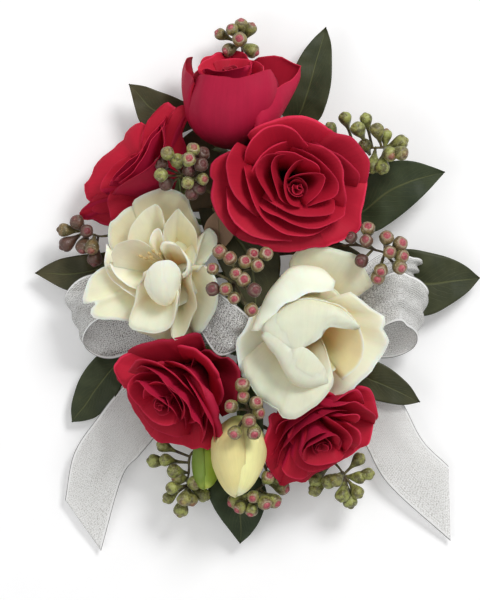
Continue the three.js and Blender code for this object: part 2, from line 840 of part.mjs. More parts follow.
// Seeded eucalyptus: a twig from the spine through its path, with a seed pod at each place, held by
// a pedicel from the nearest stretch of twig.
const sprigs = {
  sprig_centre: {
    root: 0.1,
    pathShares: [[0, 0.12, 0.24], [0, 0.115, 0.38], [-0.03, 0.08, 0.46], [-0.06, 0.03, 0.48]],
    podShares: [
      [-0.12, 0.152, 0.48],
      [-0.08, 0.126, 0.49],
      [-0.148, 0.084, 0.48],
      [0.012, 0.14, 0.46],
      [-0.02, 0.112, 0.49],
      [0.028, 0.098, 0.5],
      [0.064, 0.144, 0.48],
      [-0.056, 0.064, 0.51],
      [-0.028, 0.042, 0.51],
      [-0.148, 0.004, 0.48],
      [-0.096, 0.004, 0.5],
      [-0.064, -0.032, 0.5],
      [0.016, 0, 0.52],
      [0.004, -0.078, 0.5],
    ],
  },
  sprig_upper_centre: {
    root: 0.34,
    pathShares: [[-0.1, 0.36, 0.2], [-0.24, 0.45, 0.33], [-0.25, 0.48, 0.36]],
    podShares: [
      [-0.328, 0.544, 0.44],
      [-0.228, 0.562, 0.45],
      [-0.248, 0.52, 0.48],
      [-0.19, 0.53, 0.42],
      [-0.192, 0.48, 0.44],
      [-0.352, 0.456, 0.45],
      [-0.248, 0.424, 0.46],
      [-0.185, 0.435, 0.42],
      [-0.345, 0.505, 0.46],
    ],
  },
  sprig_lower_centre: {
    root: -0.38,
    pathShares: [[-0.01, -0.4, 0.2], [-0.02, -0.45, 0.31], [-0.02, -0.5, 0.35]],
    podShares: [
      [-0.032, -0.372, 0.35],
      [-0.032, -0.444, 0.4],
      [-0.072, -0.468, 0.39],
      [0.02, -0.46, 0.39],
      [-0.004, -0.522, 0.42],
      [-0.06, -0.55, 0.41],
      [0.016, -0.572, 0.41],
      [0.036, -0.5, 0.37],
    ],
  },
  sprig_right_upper: {
    root: 0.36,
    pathShares: [[0.2, 0.46, 0.09], [0.36, 0.56, 0.16], [0.484, 0.568, 0.22], [0.55, 0.575, 0.24]],
    podShares: [
      [0.32, 0.648, 0.18],
      [0.38, 0.692, 0.24],
      [0.436, 0.644, 0.28],
      [0.464, 0.688, 0.24],
      [0.508, 0.636, 0.28],
      [0.544, 0.62, 0.23],
      [0.608, 0.592, 0.24],
      [0.564, 0.548, 0.29],
      [0.608, 0.53, 0.25],
      [0.528, 0.492, 0.26],
      [0.432, 0.59, 0.22],
      [0.48, 0.5, 0.27],
    ],
  },
  sprig_right: {
    root: 0.14,
    pathShares: [[0.2, 0.15, 0.16], [0.4, 0.18, 0.26], [0.52, 0.15, 0.32], [0.56, 0.14, 0.33]],
    podShares: [
      [0.472, 0.244, 0.35],
      [0.468, 0.196, 0.38],
      [0.544, 0.208, 0.38],
      [0.592, 0.182, 0.37],
      [0.558, 0.152, 0.4],
      [0.608, 0.14, 0.37],
      [0.596, 0.1, 0.38],
      [0.524, 0.08, 0.39],
      [0.508, 0.045, 0.37],
      [0.42, 0.225, 0.33],
      [0.446, 0.116, 0.35],
    ],
  },
  sprig_left: {
    root: 0.16,
    pathShares: [[-0.3, 0.2, 0.1], [-0.52, 0.22, 0.13], [-0.6, 0.215, 0.14], [-0.68, 0.22, 0.14]],
    podShares: [
      [-0.692, 0.272, 0.17],
      [-0.756, 0.24, 0.14],
      [-0.73, 0.176, 0.14],
      [-0.652, 0.25, 0.18],
      [-0.666, 0.172, 0.17],
      [-0.61, 0.176, 0.19],
      [-0.6, 0.13, 0.16],
    ],
  },
  sprig_top: {
    root: 0.455,
    pathShares: [[0.03, 0.6, 0.06], [0, 0.8, 0.06], [-0.03, 0.95, 0.07], [-0.044, 1.02, 0.13]],
    podShares: [
      [-0.116, 1.02, 0.14],
      [-0.074, 1.04, 0.18],
      [-0.036, 1.066, 0.15],
      [0, 1.044, 0.14],
      [-0.04, 1.002, 0.2],
      [-0.088, 0.97, 0.16],
      [0.012, 0.98, 0.12],
    ],
  },
  sprig_bottom_left: {
    root: -0.57,
    pathShares: [[-0.12, -0.62, 0.09], [-0.23, -0.65, 0.12], [-0.245, -0.73, 0.13], [-0.25, -0.79, 0.13]],
    podShares: [
      [-0.388, -0.684, 0.13],
      [-0.352, -0.626, 0.12],
      [-0.304, -0.724, 0.17],
      [-0.328, -0.826, 0.13],
      [-0.312, -0.785, 0.18],
      [-0.276, -0.88, 0.13],
      [-0.26, -0.83, 0.18],
      [-0.222, -0.85, 0.14],
      [-0.188, -0.81, 0.13],
      [-0.215, -0.77, 0.17],
      [-0.33, -0.67, 0.17],
    ],
  },
  sprig_bottom: {
    root: -0.59,
    pathShares: [[0.04, -0.66, 0.07], [0.07, -0.74, 0.12], [0.05, -0.81, 0.15], [0.02, -0.84, 0.16]],
    podShares: [
      [0.072, -0.752, 0.2],
      [0.112, -0.756, 0.16],
      [0.14, -0.808, 0.15],
      [0.1, -0.84, 0.18],
      [0.012, -0.814, 0.2],
      [0.004, -0.872, 0.17],
      [-0.048, -0.868, 0.18],
      [-0.07, -0.835, 0.15],
      [0.048, -0.86, 0.2],
    ],
  },
  sprig_bottom_right: {
    root: -0.52,
    pathShares: [[0.16, -0.6, 0.07], [0.32, -0.68, 0.1], [0.37, -0.75, 0.12], [0.39, -0.79, 0.12]],
    podShares: [
      [0.436, -0.676, 0.14],
      [0.488, -0.74, 0.13],
      [0.436, -0.816, 0.14],
      [0.324, -0.76, 0.15],
      [0.262, -0.808, 0.12],
      [0.262, -0.756, 0.13],
      [0.368, -0.828, 0.15],
      [0.4, -0.848, 0.12],
      [0.33, -0.81, 0.17],
    ],
  },
};

// A pod's skin below its tip, as shares of its radius and length
const podSkinShares = [
  [1, 0.55],
  [0.74, 0.9],
  [0, 1],
];

// A seed pod and its pedicel as one turned piece, from a point on the twig to the pod's place.
function pod(centre, from, grow) {
  const radius = POD.radiusShare * REACH;
  const length = POD.lengthShare * REACH;
  const pedicel = TWIG.pedicelShare * REACH;
  const out = centre.clone().sub(from);
  const gap = Math.max(out.length() - length / 2, pedicel);
  out.normalize();
  const foot = centre.clone().addScaledVector(out, -length / 2 - gap);
  const bulb = podSkinShares.map(([r, z]) => [r * radius, z * length + gap]);
  const profile = [[0, 0], [pedicel, 0], ...bulb];
  return turned(profile, POD.sides, frameAt(foot, out), grow);
}

function sprig({ root, pathShares, podShares }, grow = 0) {
  const path = new THREE.CatmullRomCurve3([rootOf(root), ...pathShares.map(place)]);
  const marks = path.getPoints(TWIG.marks).slice(TWIG.bareMarks);
  const pods = podShares.map((shares) => {
    const centre = place(shares);
    const nearest = marks.reduce((best, mark) =>
      centre.distanceTo(mark) < centre.distanceTo(best) ? mark : best,
    );
    return pod(centre, nearest, grow);
  });
  return join([rod(path, TWIG.radiusShare * REACH, TWIG.steps, TWIG.sides, grow), ...pods]);
}

// The ribbon: each length runs between its two selvages, from the binding outwards. A loop comes
// back over itself to the binding.
const ribbons = {
  ribbon_loop_left: {
    upperShares: [
      [-0.0115, -0.156, 0.122],
      [-0.2, -0.05, 0.085],
      [-0.45, -0.02, 0.08],
      [-0.62, -0.065, 0.085],
      [-0.735, -0.045, 0.13],
      [-0.72, 0.012, 0.17],
      [-0.648, 0.06, 0.18],
      [-0.5, 0.075, 0.18],
      [-0.22, -0.03, 0.17],
      [-0.0115, -0.156, 0.152],
    ],
    lowerShares: [
      [-0.0115, -0.204, 0.122],
      [-0.2, -0.22, 0.085],
      [-0.4, -0.235, 0.075],
      [-0.56, -0.276, 0.08],
      [-0.65, -0.24, 0.12],
      [-0.662, -0.18, 0.19],
      [-0.6, -0.118, 0.24],
      [-0.48, -0.122, 0.245],
      [-0.24, -0.18, 0.2],
      [-0.0115, -0.204, 0.152],
    ],
  },
  ribbon_loop_right: {
    upperShares: [
      [-0.0085, -0.156, 0.122],
      [0.2, -0.15, 0.085],
      [0.42, -0.06, 0.075],
      [0.6, -0.045, 0.08],
      [0.7, -0.03, 0.12],
      [0.71, 0.01, 0.17],
      [0.65, 0.056, 0.2],
      [0.54, 0.06, 0.21],
      [0.24, -0.155, 0.16],
      [-0.0085, -0.156, 0.152],
    ],
    lowerShares: [
      [-0.0085, -0.204, 0.122],
      [0.2, -0.3, 0.085],
      [0.4, -0.27, 0.075],
      [0.56, -0.272, 0.08],
      [0.65, -0.235, 0.11],
      [0.666, -0.184, 0.17],
      [0.632, -0.15, 0.22],
      [0.56, -0.136, 0.24],
      [0.26, -0.31, 0.16],
      [-0.0085, -0.204, 0.152],
    ],
  },
  ribbon_loop_right_upper: {
    upperShares: [
      [-0.0085, -0.156, 0.132],
      [0.22, -0.15, 0.105],
      [0.46, 0.1, 0.1],
      [0.6, 0.165, 0.08],
      [0.685, 0.12, 0.09],
      [0.66, 0.13, 0.14],
      [0.54, 0.12, 0.155],
      [0.26, -0.15, 0.13],
      [-0.0085, -0.156, 0.142],
    ],
    lowerShares: [
      [-0.0085, -0.204, 0.132],
      [0.26, -0.27, 0.105],
      [0.5, -0.02, 0.12],
      [0.58, 0.0, 0.12],
      [0.635, 0.0, 0.13],
      [0.62, 0.01, 0.16],
      [0.54, -0.02, 0.175],
      [0.3, -0.27, 0.135],
      [-0.0085, -0.204, 0.142],
    ],
  },
  ribbon_loop_centre: {
    upperShares: [
      [-0.0115, -0.156, 0.161],
      [-0.06, -0.1, 0.185],
      [-0.11, -0.03, 0.2],
      [-0.14, 0.0, 0.225],
      [-0.14, 0.0, 0.265],
      [-0.11, -0.02, 0.29],
      [-0.04, -0.072, 0.28],
      [0, -0.115, 0.245],
      [-0.02, -0.15, 0.21],
    ],
    lowerShares: [
      [-0.0115, -0.204, 0.161],
      [-0.07, -0.19, 0.2],
      [-0.15, -0.16, 0.215],
      [-0.2, -0.14, 0.235],
      [-0.21, -0.145, 0.265],
      [-0.192, -0.176, 0.29],
      [-0.128, -0.262, 0.28],
      [-0.05, -0.24, 0.25],
      [-0.03, -0.22, 0.215],
    ],
  },
  ribbon_tail_left: {
    upperShares: [
      [-0.0115, -0.156, 0.112],
      [-0.14, -0.12, 0.07],
      [-0.32, -0.2, 0.045],
      [-0.512, -0.388, 0.055],
      [-0.608, -0.508, 0.07],
      [-0.704, -0.654, 0.06],
      [-0.74, -0.84, 0.03],
    ],
    lowerShares: [
      [-0.0115, -0.204, 0.112],
      [-0.12, -0.24, 0.075],
      [-0.25, -0.38, 0.055],
      [-0.36, -0.56, 0.07],
      [-0.44, -0.66, 0.08],
      [-0.512, -0.752, 0.06],
      [-0.596, -1.044, 0.02],
    ],
  },
  ribbon_tail_right: {
    upperShares: [
      [-0.0085, -0.156, 0.112],
      [0.14, -0.13, 0.07],
      [0.36, -0.2, 0.045],
      [0.53, -0.32, 0.055],
      [0.616, -0.46, 0.07],
      [0.69, -0.6, 0.06],
      [0.794, -0.704, 0.03],
    ],
    lowerShares: [
      [-0.0085, -0.204, 0.112],
      [0.12, -0.25, 0.07],
      [0.24, -0.37, 0.05],
      [0.4, -0.5, 0.055],
      [0.468, -0.632, 0.07],
      [0.56, -0.785, 0.06],
      [0.802, -1.004, 0.02],
    ],
  },
};

function ribbon({ upperShares, lowerShares }, grow = 0) {
  const upper = new THREE.CatmullRomCurve3(upperShares.map(place));
  const lower = new THREE.CatmullRomCurve3(lowerShares.map(place));
  const point = (u, v) => upper.getPoint(v).lerp(lower.getPoint(v), (u + 1) / 2);
  return sheet(point, RIBBON, grow);
}

// The wire ring that gathers the bow and stands on the spine
function binding(grow = 0) {
  const { radius, ring, sides, steps } = BINDING;
  const section = Array.from({ length: sides + 1 }, (_, k) => {
    const angle = (2 * Math.PI * k) / sides;
    return new THREE.Vector2(
      ring + (radius + grow) * Math.cos(angle),
      (radius + grow) * Math.sin(angle),
    );
  });
  const height = SPINE.depth + CLEARANCE + radius + ring;
  const geometry = new THREE.LatheGeometry(section, steps);
  geometry.rotateZ(Math.PI / 2);
  geometry.translate(BINDING.xShare * REACH, BINDING.yShare * REACH, height);
  return solidOf(geometry);
}

// The taped spine: a flat-backed bar with bevelled front edges, bored for the two pins.
function spine(grow = 0) {
  const { topShare, bottomShare, width, depth, bevel } = SPINE;
  const side = width / 2 + grow;
  const front = depth + grow;
  const outline = new THREE.Shape([
    new THREE.Vector2(-side, -grow),
    new THREE.Vector2(side, -grow),
    new THREE.Vector2(side, front - bevel),
    new THREE.Vector2(side - bevel, front),
    new THREE.Vector2(bevel - side, front),
    new THREE.Vector2(-side, front - bevel),
  ]);
  const bar = new THREE.ExtrudeGeometry(outline, {
    depth: (topShare + bottomShare) * REACH + 2 * grow,
    bevelEnabled: false,
  });
  bar.rotateX(Math.PI / 2);
  bar.translate(0, topShare * REACH + grow, 0);
  return solidOf(bar);
}

// Pins. Each goes through the spine from right to left, and its pearl stands clear on the right.
const pinShares = { pin_upper: 0.23, pin_lower: -0.42 };
const pearlSeat = SPINE.width / 2 + CLEARANCE;

const along = (x, y) => frameAt(new THREE.Vector3(x, y, PIN.height), new THREE.Vector3(-1, 0, 0));

function shank(y) {
  const { length, radius, point, tip } = PIN;
  const profile = [
    [0, CLEARANCE],
    [radius, CLEARANCE],
    [radius, length - point],
    [tip, length],
    [0, length],
  ];
  const head = pearlSeat + PEARL.length - PEARL.socket + CLEARANCE;
  return turned(profile, PIN.sides, along(head, y));
}

// A pearl's skin, as shares of its radius and length
const pearlShares = [
  [0, 0],
  [0.6, 0.08],
  [1, 0.42],
  [0.8, 0.78],
];

// A pearl bead, drawn from its far end to the socket's mouth, hollow where the shank goes in.
function pearl(y) {
  const { radius, length, socket, neck, sides } = PEARL;
  const bore = PIN.radius + CLEARANCE;
  const profile = [
    ...pearlShares.map(([r, z]) => [r * radius, z * length]),
    [neck, length],
    [bore, length],
    [bore, length - socket],
    [0, length - socket],
  ];
  return turned(profile, sides, along(pearlSeat + length, y));
}

// The room of a pin at rest and on its way out, and the bore that it leaves in the spine.
function pinRoom(y) {
  const bore = cylinder(PIN.radius + CLEARANCE, -PIN.length, PIN.length, PIN.sides, along(0, y));
  const far = pearlSeat + PEARL.length + PIN.travel + CLEARANCE;
  const ahead = cylinder(
    PEARL.radius + CLEARANCE,
    0,
    far - pearlSeat + CLEARANCE,
    PEARL.sides,
    along(far, y),
  );
  return join([bore, ahead]);
}

// The corsage: each piece is cut clear of the room that the pieces before it have taken.
const corsage = new THREE.Group();
let taken = spine(CLEARANCE);

function add(name, finish, solid) {
  const mesh = new THREE.Mesh(geometryOf(solid), new THREE.MeshStandardMaterial(finishes[finish]));
  mesh.name = name;
  corsage.add(mesh);
}

// Adds a piece that make(spec, grow) builds, clear of what is there, and takes its room.
function addClear(name, finish, make, spec) {
  add(name, finish, largest(make(spec).subtract(taken)));
  taken = taken.add(make(spec, CLEARANCE));
}

// A bloom's petals round its heart, which stands inside them.
function addBloom(name, spec, finish, heart, heartRoom) {
  const matrix = frameAt(place(spec.seatShares), aim(spec.axisShares));
  add(`${name}_${finish === "rose_petal" ? "heart" : "stamens"}`, heart.finish, heart.make(matrix));
  const petals = petalCup(spec, matrix).subtract(heartRoom(matrix));
  add(`${name}_petals`, finish, largest(petals.subtract(taken)));
  taken = taken.add(spec.rings[0].rimShares ? tracedRoom(spec, matrix) : cupRoom(spec, matrix));
}

let bored = spine();
for (const [name, share] of Object.entries(pinShares)) {
  const y = share * REACH;
  const room = pinRoom(y);
  bored = bored.subtract(room);
  taken = taken.add(room);
  add(`${name}_shank`, "pin_steel", shank(y));
  add(`${name}_pearl`, "pearl", pearl(y));
}
add("stem_spine", "stem_tape", bored);

for (const [name, spec] of Object.entries(roses)) {
  const heart = { finish: "rose_heart", make: (matrix) => rolledHeart(spec.heart, matrix) };
  addBloom(name, spec, "rose_petal", heart, (matrix) => heartRoom(spec.heart, matrix));
}
for (const [name, spec] of Object.entries(freesias)) {
  const heart = { finish: "stamen", make: stamens };
  const room = {
    radiusShare: (STAMEN.spread + STAMEN.anther) / REACH,
    heightShare: STAMEN.length / REACH,
  };
  addBloom(name, spec, "freesia_petal", heart, (matrix) => heartRoom(room, matrix));
}
for (const [name, spec] of Object.entries({ ...roses, ...freesias })) {
  addClear(`${name}_stem`, "calyx", hipAndStem, spec);
}
for (const [name, spec] of Object.entries(buds)) addClear(name, spec.finish, bud, spec);
for (const [name, spec] of Object.entries(sprigs)) addClear(name, "seed", sprig, spec);
add("bow_wire", "wire", largest(binding().subtract(taken)));
taken = taken.add(binding(CLEARANCE));
for (const [name, spec] of Object.entries(ribbons)) addClear(name, "ribbon", ribbon, spec);
for (const [name, spec] of Object.entries(leaves)) {
  addClear(name, name === "leaf_tan" ? "leaf_tan" : "leaf", leaf, spec);
}

export default corsage;
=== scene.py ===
"""A pin-on corsage seen from the front: red spray roses, cream double freesias, two closed buds,
seeded eucalyptus, dark leaves and a bow of sheer silver ribbon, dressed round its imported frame.
Everything is in metres in the frame's own axes. Traced outlines are pixels of the 480 x 600
photograph, and heights are millimetres above the corsage's flat back."""

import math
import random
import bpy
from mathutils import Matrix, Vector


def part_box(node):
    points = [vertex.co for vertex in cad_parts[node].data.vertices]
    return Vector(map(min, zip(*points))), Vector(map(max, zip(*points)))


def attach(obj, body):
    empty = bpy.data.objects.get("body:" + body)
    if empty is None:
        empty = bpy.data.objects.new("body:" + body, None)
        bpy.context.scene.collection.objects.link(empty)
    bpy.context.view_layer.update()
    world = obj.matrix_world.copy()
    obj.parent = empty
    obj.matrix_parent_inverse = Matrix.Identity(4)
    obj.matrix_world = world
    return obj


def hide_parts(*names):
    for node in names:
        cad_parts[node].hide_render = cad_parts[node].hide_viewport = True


bl_info = {
    "name": "Corsage",
    "version": (1, 0, 0),
    "blender": (4, 5, 0),
    "location": "3D View > Sidebar > Corsage",
    "description": "Builds a corsage of roses, freesias, eucalyptus and ribbon",
    "category": "Add Mesh",
}

import bpy
from mathutils import Vector, noise

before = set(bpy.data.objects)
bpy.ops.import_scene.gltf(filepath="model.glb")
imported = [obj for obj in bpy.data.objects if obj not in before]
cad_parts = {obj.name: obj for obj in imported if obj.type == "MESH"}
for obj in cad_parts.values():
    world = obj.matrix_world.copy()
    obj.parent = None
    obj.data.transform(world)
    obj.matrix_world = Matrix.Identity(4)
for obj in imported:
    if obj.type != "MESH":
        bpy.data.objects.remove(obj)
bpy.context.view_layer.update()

MM = 0.001
REACH = 100 * MM  # the places written as shares are shares of this
PIXEL = 0.4 * MM  # one pixel of the photograph
ORIGIN = (250, 290)  # the pixel at which the frame's origin shows
VIEW = Vector((-4 * MM, -4 * MM, 3000 * MM))  # the camera's place
SHARP = 20 * MM  # the height at which a pixel is PIXEL wide
FIELD = 240 * MM  # what the photograph's long side takes in at that height
BODY = "corsage"
STEM_Z = 0.042  # where stems end inside the spine, and where stalks do, as shares of the reach
STALK_Z = 0.04
FLOOR_GAP = 0.4 * MM  # how far the ribbon keeps off the flat back, and the floor below it


# Sizes and colours that a user would change

def length_of(label, text, value):
    return bpy.props.FloatProperty(
        name=label, description=text, default=value, min=0, unit="LENGTH"
    )


def colour_of(label, text, value):
    return bpy.props.FloatVectorProperty(
        name=label, description=text, default=value, min=0, max=1, size=4, subtype="COLOR"
    )


class CORSAGE_PG_sizes(bpy.types.PropertyGroup):
    rose_petal: length_of("Rose petal", "Thickness of a rose petal at its foot", 0.45 * MM)
    freesia_petal: length_of("Freesia petal", "Thickness of a freesia petal", 0.6 * MM)
    pod_width: length_of("Pod width", "Width of a seed pod", 5.5 * MM)
    pod_length: length_of("Pod length", "Length of a seed pod", 8.2 * MM)
    twig: length_of("Twig", "Radius of a eucalyptus twig", 0.62 * MM)
    leaf: length_of("Leaf", "Thickness of a leaf", 0.4 * MM)
    ribbon_width: length_of("Ribbon width", "Flat width of the ribbon", 22 * MM)
    ribbon: length_of("Ribbon", "Thickness of the ribbon", 0.14 * MM)


class CORSAGE_PG_colours(bpy.types.PropertyGroup):
    rose_body: colour_of("Rose", "A rose petal's inner face", (0.45, 0.01, 0.032, 1))
    rose_back: colour_of("Rose back", "A rose petal's outer face", (0.46, 0.011, 0.05, 1))
    # The rose rim colour is partly the petal's own paler lip and partly a painted highlight on the
    # rolled lip
    rose_rim: colour_of("Rose rim", "The lip of a rose petal", (0.66, 0.026, 0.075, 1))
    # This colour is painted shade: the dark red that rose petals take toward their feet and on
    # shaded petals
    rose_shade: colour_of("Rose depth", "A rose petal near its foot", (0.13, 0.004, 0.011, 1))
    cream: colour_of("Cream", "A freesia petal's face", (0.97, 0.9, 0.69, 1))
    cream_rim: colour_of("Cream rim", "The lip of a freesia petal", (0.95, 0.93, 0.82, 1))
    # throat: the freesia's own yellow throat, which the petals also take far up as painted warm
    # shade
    throat: colour_of("Throat", "A freesia petal near its foot", (0.88, 0.71, 0.33, 1))
    leaf: colour_of("Leaf", "A leaf's upper face", (0.018, 0.031, 0.013, 1))
    seed: colour_of("Seed", "A seed pod's body", (0.33, 0.36, 0.09, 1))
    seed_cap: colour_of("Seed cap", "A seed pod's cap", (0.36, 0.045, 0.065, 1))
    silver: colour_of("Silver", "The ribbon's threads", (0.95, 0.95, 0.93, 1))


def sizes():
    return bpy.context.scene.corsage_sizes


def colours():
    return bpy.context.scene.corsage_colours


# Places and smooth paths

def toward_view(x, y, z):
    """Moves a point so that it shows where (x, y) does at the sharp height"""
    near = (z - SHARP) / VIEW.z
    return Vector((x + (VIEW.x - x) * near, y + (VIEW.y - y) * near, z))


def spot(px, py, height):
    """The point at a height in millimetres that shows at a pixel"""
    return toward_view((px - ORIGIN[0]) * PIXEL, (ORIGIN[1] - py) * PIXEL, height * MM)


def share(place):
    x, y, z = (value * REACH for value in place)
    return toward_view(x, y, z)


def between(values, t):
    """The value at t from 0 to 1 along a list of evenly spaced values, or the one value itself"""
    if not isinstance(values, (list, tuple)):
        return values
    last = len(values) - 1
    k = min(int(t * last), last - 1)
    return values[k] + (values[k + 1] - values[k]) * (t * last - k)


def catmull(before, a, b, after, t):
    return 0.5 * (
        2 * a
        + (b - before) * t
        + (2 * before - 5 * a + 4 * b - after) * t * t
        + (3 * a - before - 3 * b + after) * t * t * t
    )


def fine_path(points, steps):
    last = len(points) - 1
    fine = []
    for k in range(last):
        a, b = points[k], points[k + 1]
        before = points[k - 1] if k else 2 * a - b
        after = points[k + 2] if k + 2 <= last else 2 * b - a
        fine += [catmull(before, a, b, after, step / steps) for step in range(steps)]
    fine.append(points[last])
    return fine


def smooth_path(points, count):
    """count + 1 evenly spaced points on a smooth curve through the given ones"""
    fine = fine_path(points, steps=10)
    reach = [0]
    for a, b in zip(fine, fine[1:]):
        reach.append(reach[-1] + (b - a).length)
    path = []
    k = 0
    for step in range(count + 1):
        want = reach[-1] * step / count
        while k < len(fine) - 2 and reach[k + 1] < want:
            k += 1
        gap = reach[k + 1] - reach[k]
        path.append(fine[k].lerp(fine[k + 1], (want - reach[k]) / gap if gap else 0))
    return path


def wave(point, size, seed):
    """Smooth noise from -1 to 1 with bumps of about that size"""
    return noise.noise(point / size + Vector((seed * 3.7, seed * 1.3, -seed * 2.1)))


# Meshes

def linked(name, data):
    """A new object in the scene"""
    made = bpy.data.objects.new(name, data)
    bpy.context.scene.collection.objects.link(made)
    return made


class Shell:
    """Collects closed thin sheets and turned shapes into one mesh with its own values"""

    VALUES = ("along", "across", "side", "tone", "tint")

    def __init__(self):
        self.points = []
        self.faces = []
        self.slots = []
        self.values = {name: [] for name in self.VALUES}

    def put(self, point, along=0.0, across=0.0, side=0.0, tone=0.0, tint=0.0):
        self.points.append(point)
        for name, value in zip(self.VALUES, (along, across, side, tone, tint)):
            self.values[name].append(value)
        return len(self.points) - 1

    def sheet(self, grid, thickness, outs, tone=0.0, tint=0.0, alongs=None):
        """A grid of rows of points as a closed sheet. Each column's out points from its inner face.
        thickness is a number or a function of row and column; alongs lists each row's own value."""
        first = len(self.faces)
        rows, columns = len(grid), len(grid[0])
        layers = ([], [])
        for j in range(rows):
            along = alongs[j] if alongs else j / (rows - 1)
            for i in range(columns):
                left, right = grid[j][max(i - 1, 0)], grid[j][min(i + 1, columns - 1)]
                low, high = grid[max(j - 1, 0)][i], grid[min(j + 1, rows - 1)][i]
                normal = (right - left).cross(high - low)
                normal = normal.normalized() if normal.length > 1e-12 else Vector((0, 0, 1))
                if normal.dot(outs[i]) < 0:
                    normal.negate()
                half = (thickness(j, i) if callable(thickness) else thickness) / 2
                for side, layer in enumerate(layers):
                    place = grid[j][i] + normal * (half if side else -half)
                    layer.append(self.put(place, along, i / (columns - 1), side, tone, tint))
        inner, outer = layers
        for j in range(rows - 1):
            for i in range(columns - 1):
                a = j * columns + i
                quad = (a, a + 1, a + 1 + columns, a + columns)
                self.face([inner[k] for k in quad])
                self.face([outer[k] for k in reversed(quad)])
        border = list(range(columns))
        border += [j * columns + columns - 1 for j in range(1, rows)]
        border += [(rows - 1) * columns + i for i in range(columns - 2, -1, -1)]
        border += [j * columns for j in range(rows - 2, 0, -1)]
        for a, b in zip(border, border[1:] + border[:1]):
            self.face((inner[b], inner[a], outer[a], outer[b]))
        self.turn_out(first)

    def face(self, corners, slot=0):
        self.faces.append(tuple(corners))
        self.slots.append(slot)

    def turn_out(self, first):
        """Turns the closed skin that starts at that face so that its faces point outwards"""
        origin = self.points[self.faces[first][0]]
        volume = 0
        for face in self.faces[first:]:
            a, *rest = (self.points[k] - origin for k in face)
            volume += sum(a.dot(b.cross(c)) for b, c in zip(rest, rest[1:]))
        if volume < 0:
            self.faces[first:] = [face[::-1] for face in self.faces[first:]]

    def rings(self, rings, slot=0, tint=0.0, closed=False):
        """Rings of points joined along their length, with capped ends unless closed on itself"""
        first = len(self.faces)
        count = len(rings[0])
        rows = []
        for j, ring in enumerate(rings):
            along = j / (len(rings) - 1)
            rows.append([self.put(p, along, i / count, 1, tint=tint) for i, p in enumerate(ring)])
        pairs = list(zip(rows, rows[1:]))
        if closed:
            pairs.append((rows[-1], rows[0]))
        for low, high in pairs:
            for i in range(count):
                k = (i + 1) % count
                self.face((low[i], low[k], high[k], high[i]), slot)
        if not closed:
            self.face(reversed(rows[0]), slot)
            self.face(rows[-1], slot)
        self.turn_out(first)

    def piece(self, name, materials):
        mesh = bpy.data.meshes.new(name)
        mesh.from_pydata(self.points, [], self.faces)
        for value in self.VALUES:
            layer = mesh.attributes.new(value, "FLOAT", "POINT")
            layer.data.foreach_set("value", self.values[value])
        for material in materials:
            mesh.materials.append(material)
        mesh.polygons.foreach_set("material_index", self.slots)
        mesh.polygons.foreach_set("use_smooth", [True] * len(self.faces))
        mesh.update()
        return linked(name, mesh)


def ring_round(centre, side, other, sides, reach):
    """Points round a centre. reach gives the radius at an angle."""
    angles = [2 * math.pi * i / sides for i in range(sides)]
    return [centre + (side * math.cos(a) + other * math.sin(a)) * reach(a) for a in angles]


def tube_rings(path, radius, sides):
    """Rings round a path. radius is a number or a function of the share along it."""
    last = len(path) - 1
    side = None
    rings = []
    for k, point in enumerate(path):
        ahead = (path[min(k + 1, last)] - path[max(k - 1, 0)]).normalized()
        if side is None:
            side = ahead.orthogonal().normalized()
        side = (side - ahead * side.dot(ahead)).normalized()
        reach = radius(k / last) if callable(radius) else radius
        rings.append(ring_round(point, side, ahead.cross(side), sides, lambda angle: reach))
    return rings


def turned_rings(profile, origin, axis, sides, length, width, lobes=0, depth=0.0):
    """Rings of a turned shape from (radius, height) pairs, with shallow lobes round it"""
    side = axis.orthogonal().normalized()
    other = axis.cross(side)
    rings = []
    for radius, height in profile:
        def reach(angle):
            return radius * width * (1 + depth * math.cos(lobes * angle))

        rings.append(ring_round(origin + axis * height * length, side, other, sides, reach))
    return rings


def settle(made, slot, *nodes, body=BODY):
    """Puts a finished piece on its body, in the place of its nodes"""
    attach(made, body)
    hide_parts(*nodes)
    return made


# Materials

class Value:
    """What a node gives. Its sums, differences and products are nodes as well."""

    def __init__(self, tree, socket):
        self.tree = tree
        self.socket = socket

    def __add__(self, other):
        return calc("ADD", self, other)

    def __sub__(self, other):
        return calc("SUBTRACT", self, other)

    def __mul__(self, other):
        return calc("MULTIPLY", self, other)

    def spread(self, low, high, to_low=0.0, to_high=1.0):
        """Goes smoothly from to_low to to_high while the value goes from low to high"""
        inputs = dict(enumerate((self, low, high, to_low, to_high)))
        made = node(self.tree, "ShaderNodeMapRange", inputs, interpolation_type="SMOOTHSTEP")
        return Value(self.tree, made.outputs[0])


def feed(tree, made, inputs):
    """Sets a node's inputs, by name or number, to plain values or to what other nodes give"""
    for name, value in inputs.items():
        if isinstance(value, Value):
            value = value.socket
        if isinstance(value, bpy.types.NodeSocket):
            tree.links.new(value, made.inputs[name])
        else:
            made.inputs[name].default_value = value


def node(tree, kind, inputs=None, **settings):
    made = tree.nodes.new(kind)
    for name, value in settings.items():
        setattr(made, name, value)
    feed(tree, made, inputs or {})
    return made


def calc(operation, first, *others):
    inputs = dict(enumerate((first, *others)))
    made = node(first.tree, "ShaderNodeMath", inputs, operation=operation)
    return Value(first.tree, made.outputs[0])


def mix(factor, a, b):
    made = node(factor.tree, "ShaderNodeMix", {0: factor, 6: a, 7: b}, data_type="RGBA")
    return Value(factor.tree, made.outputs[2])


def coated(colour, *coats):
    """A colour under (mask, colour) coats, each laid over what is there where its mask shows it"""
    for mask, coat in coats:
        colour = mix(mask, colour, coat)
    return colour


def values_of(tree, *names):
    """The values that a mesh carries under these names"""
    made = (node(tree, "ShaderNodeAttribute", attribute_name=name) for name in names)
    return [Value(tree, attribute.outputs["Fac"]) for attribute in made]


def grain(tree, scale, detail, vector=None, rough=0.5):
    if vector is None:
        vector = node(tree, "ShaderNodeTexCoord").outputs["Object"]
    inputs = {"Scale": scale, "Detail": detail, "Roughness": rough, "Vector": vector}
    return Value(tree, node(tree, "ShaderNodeTexNoise", inputs).outputs["Fac"])


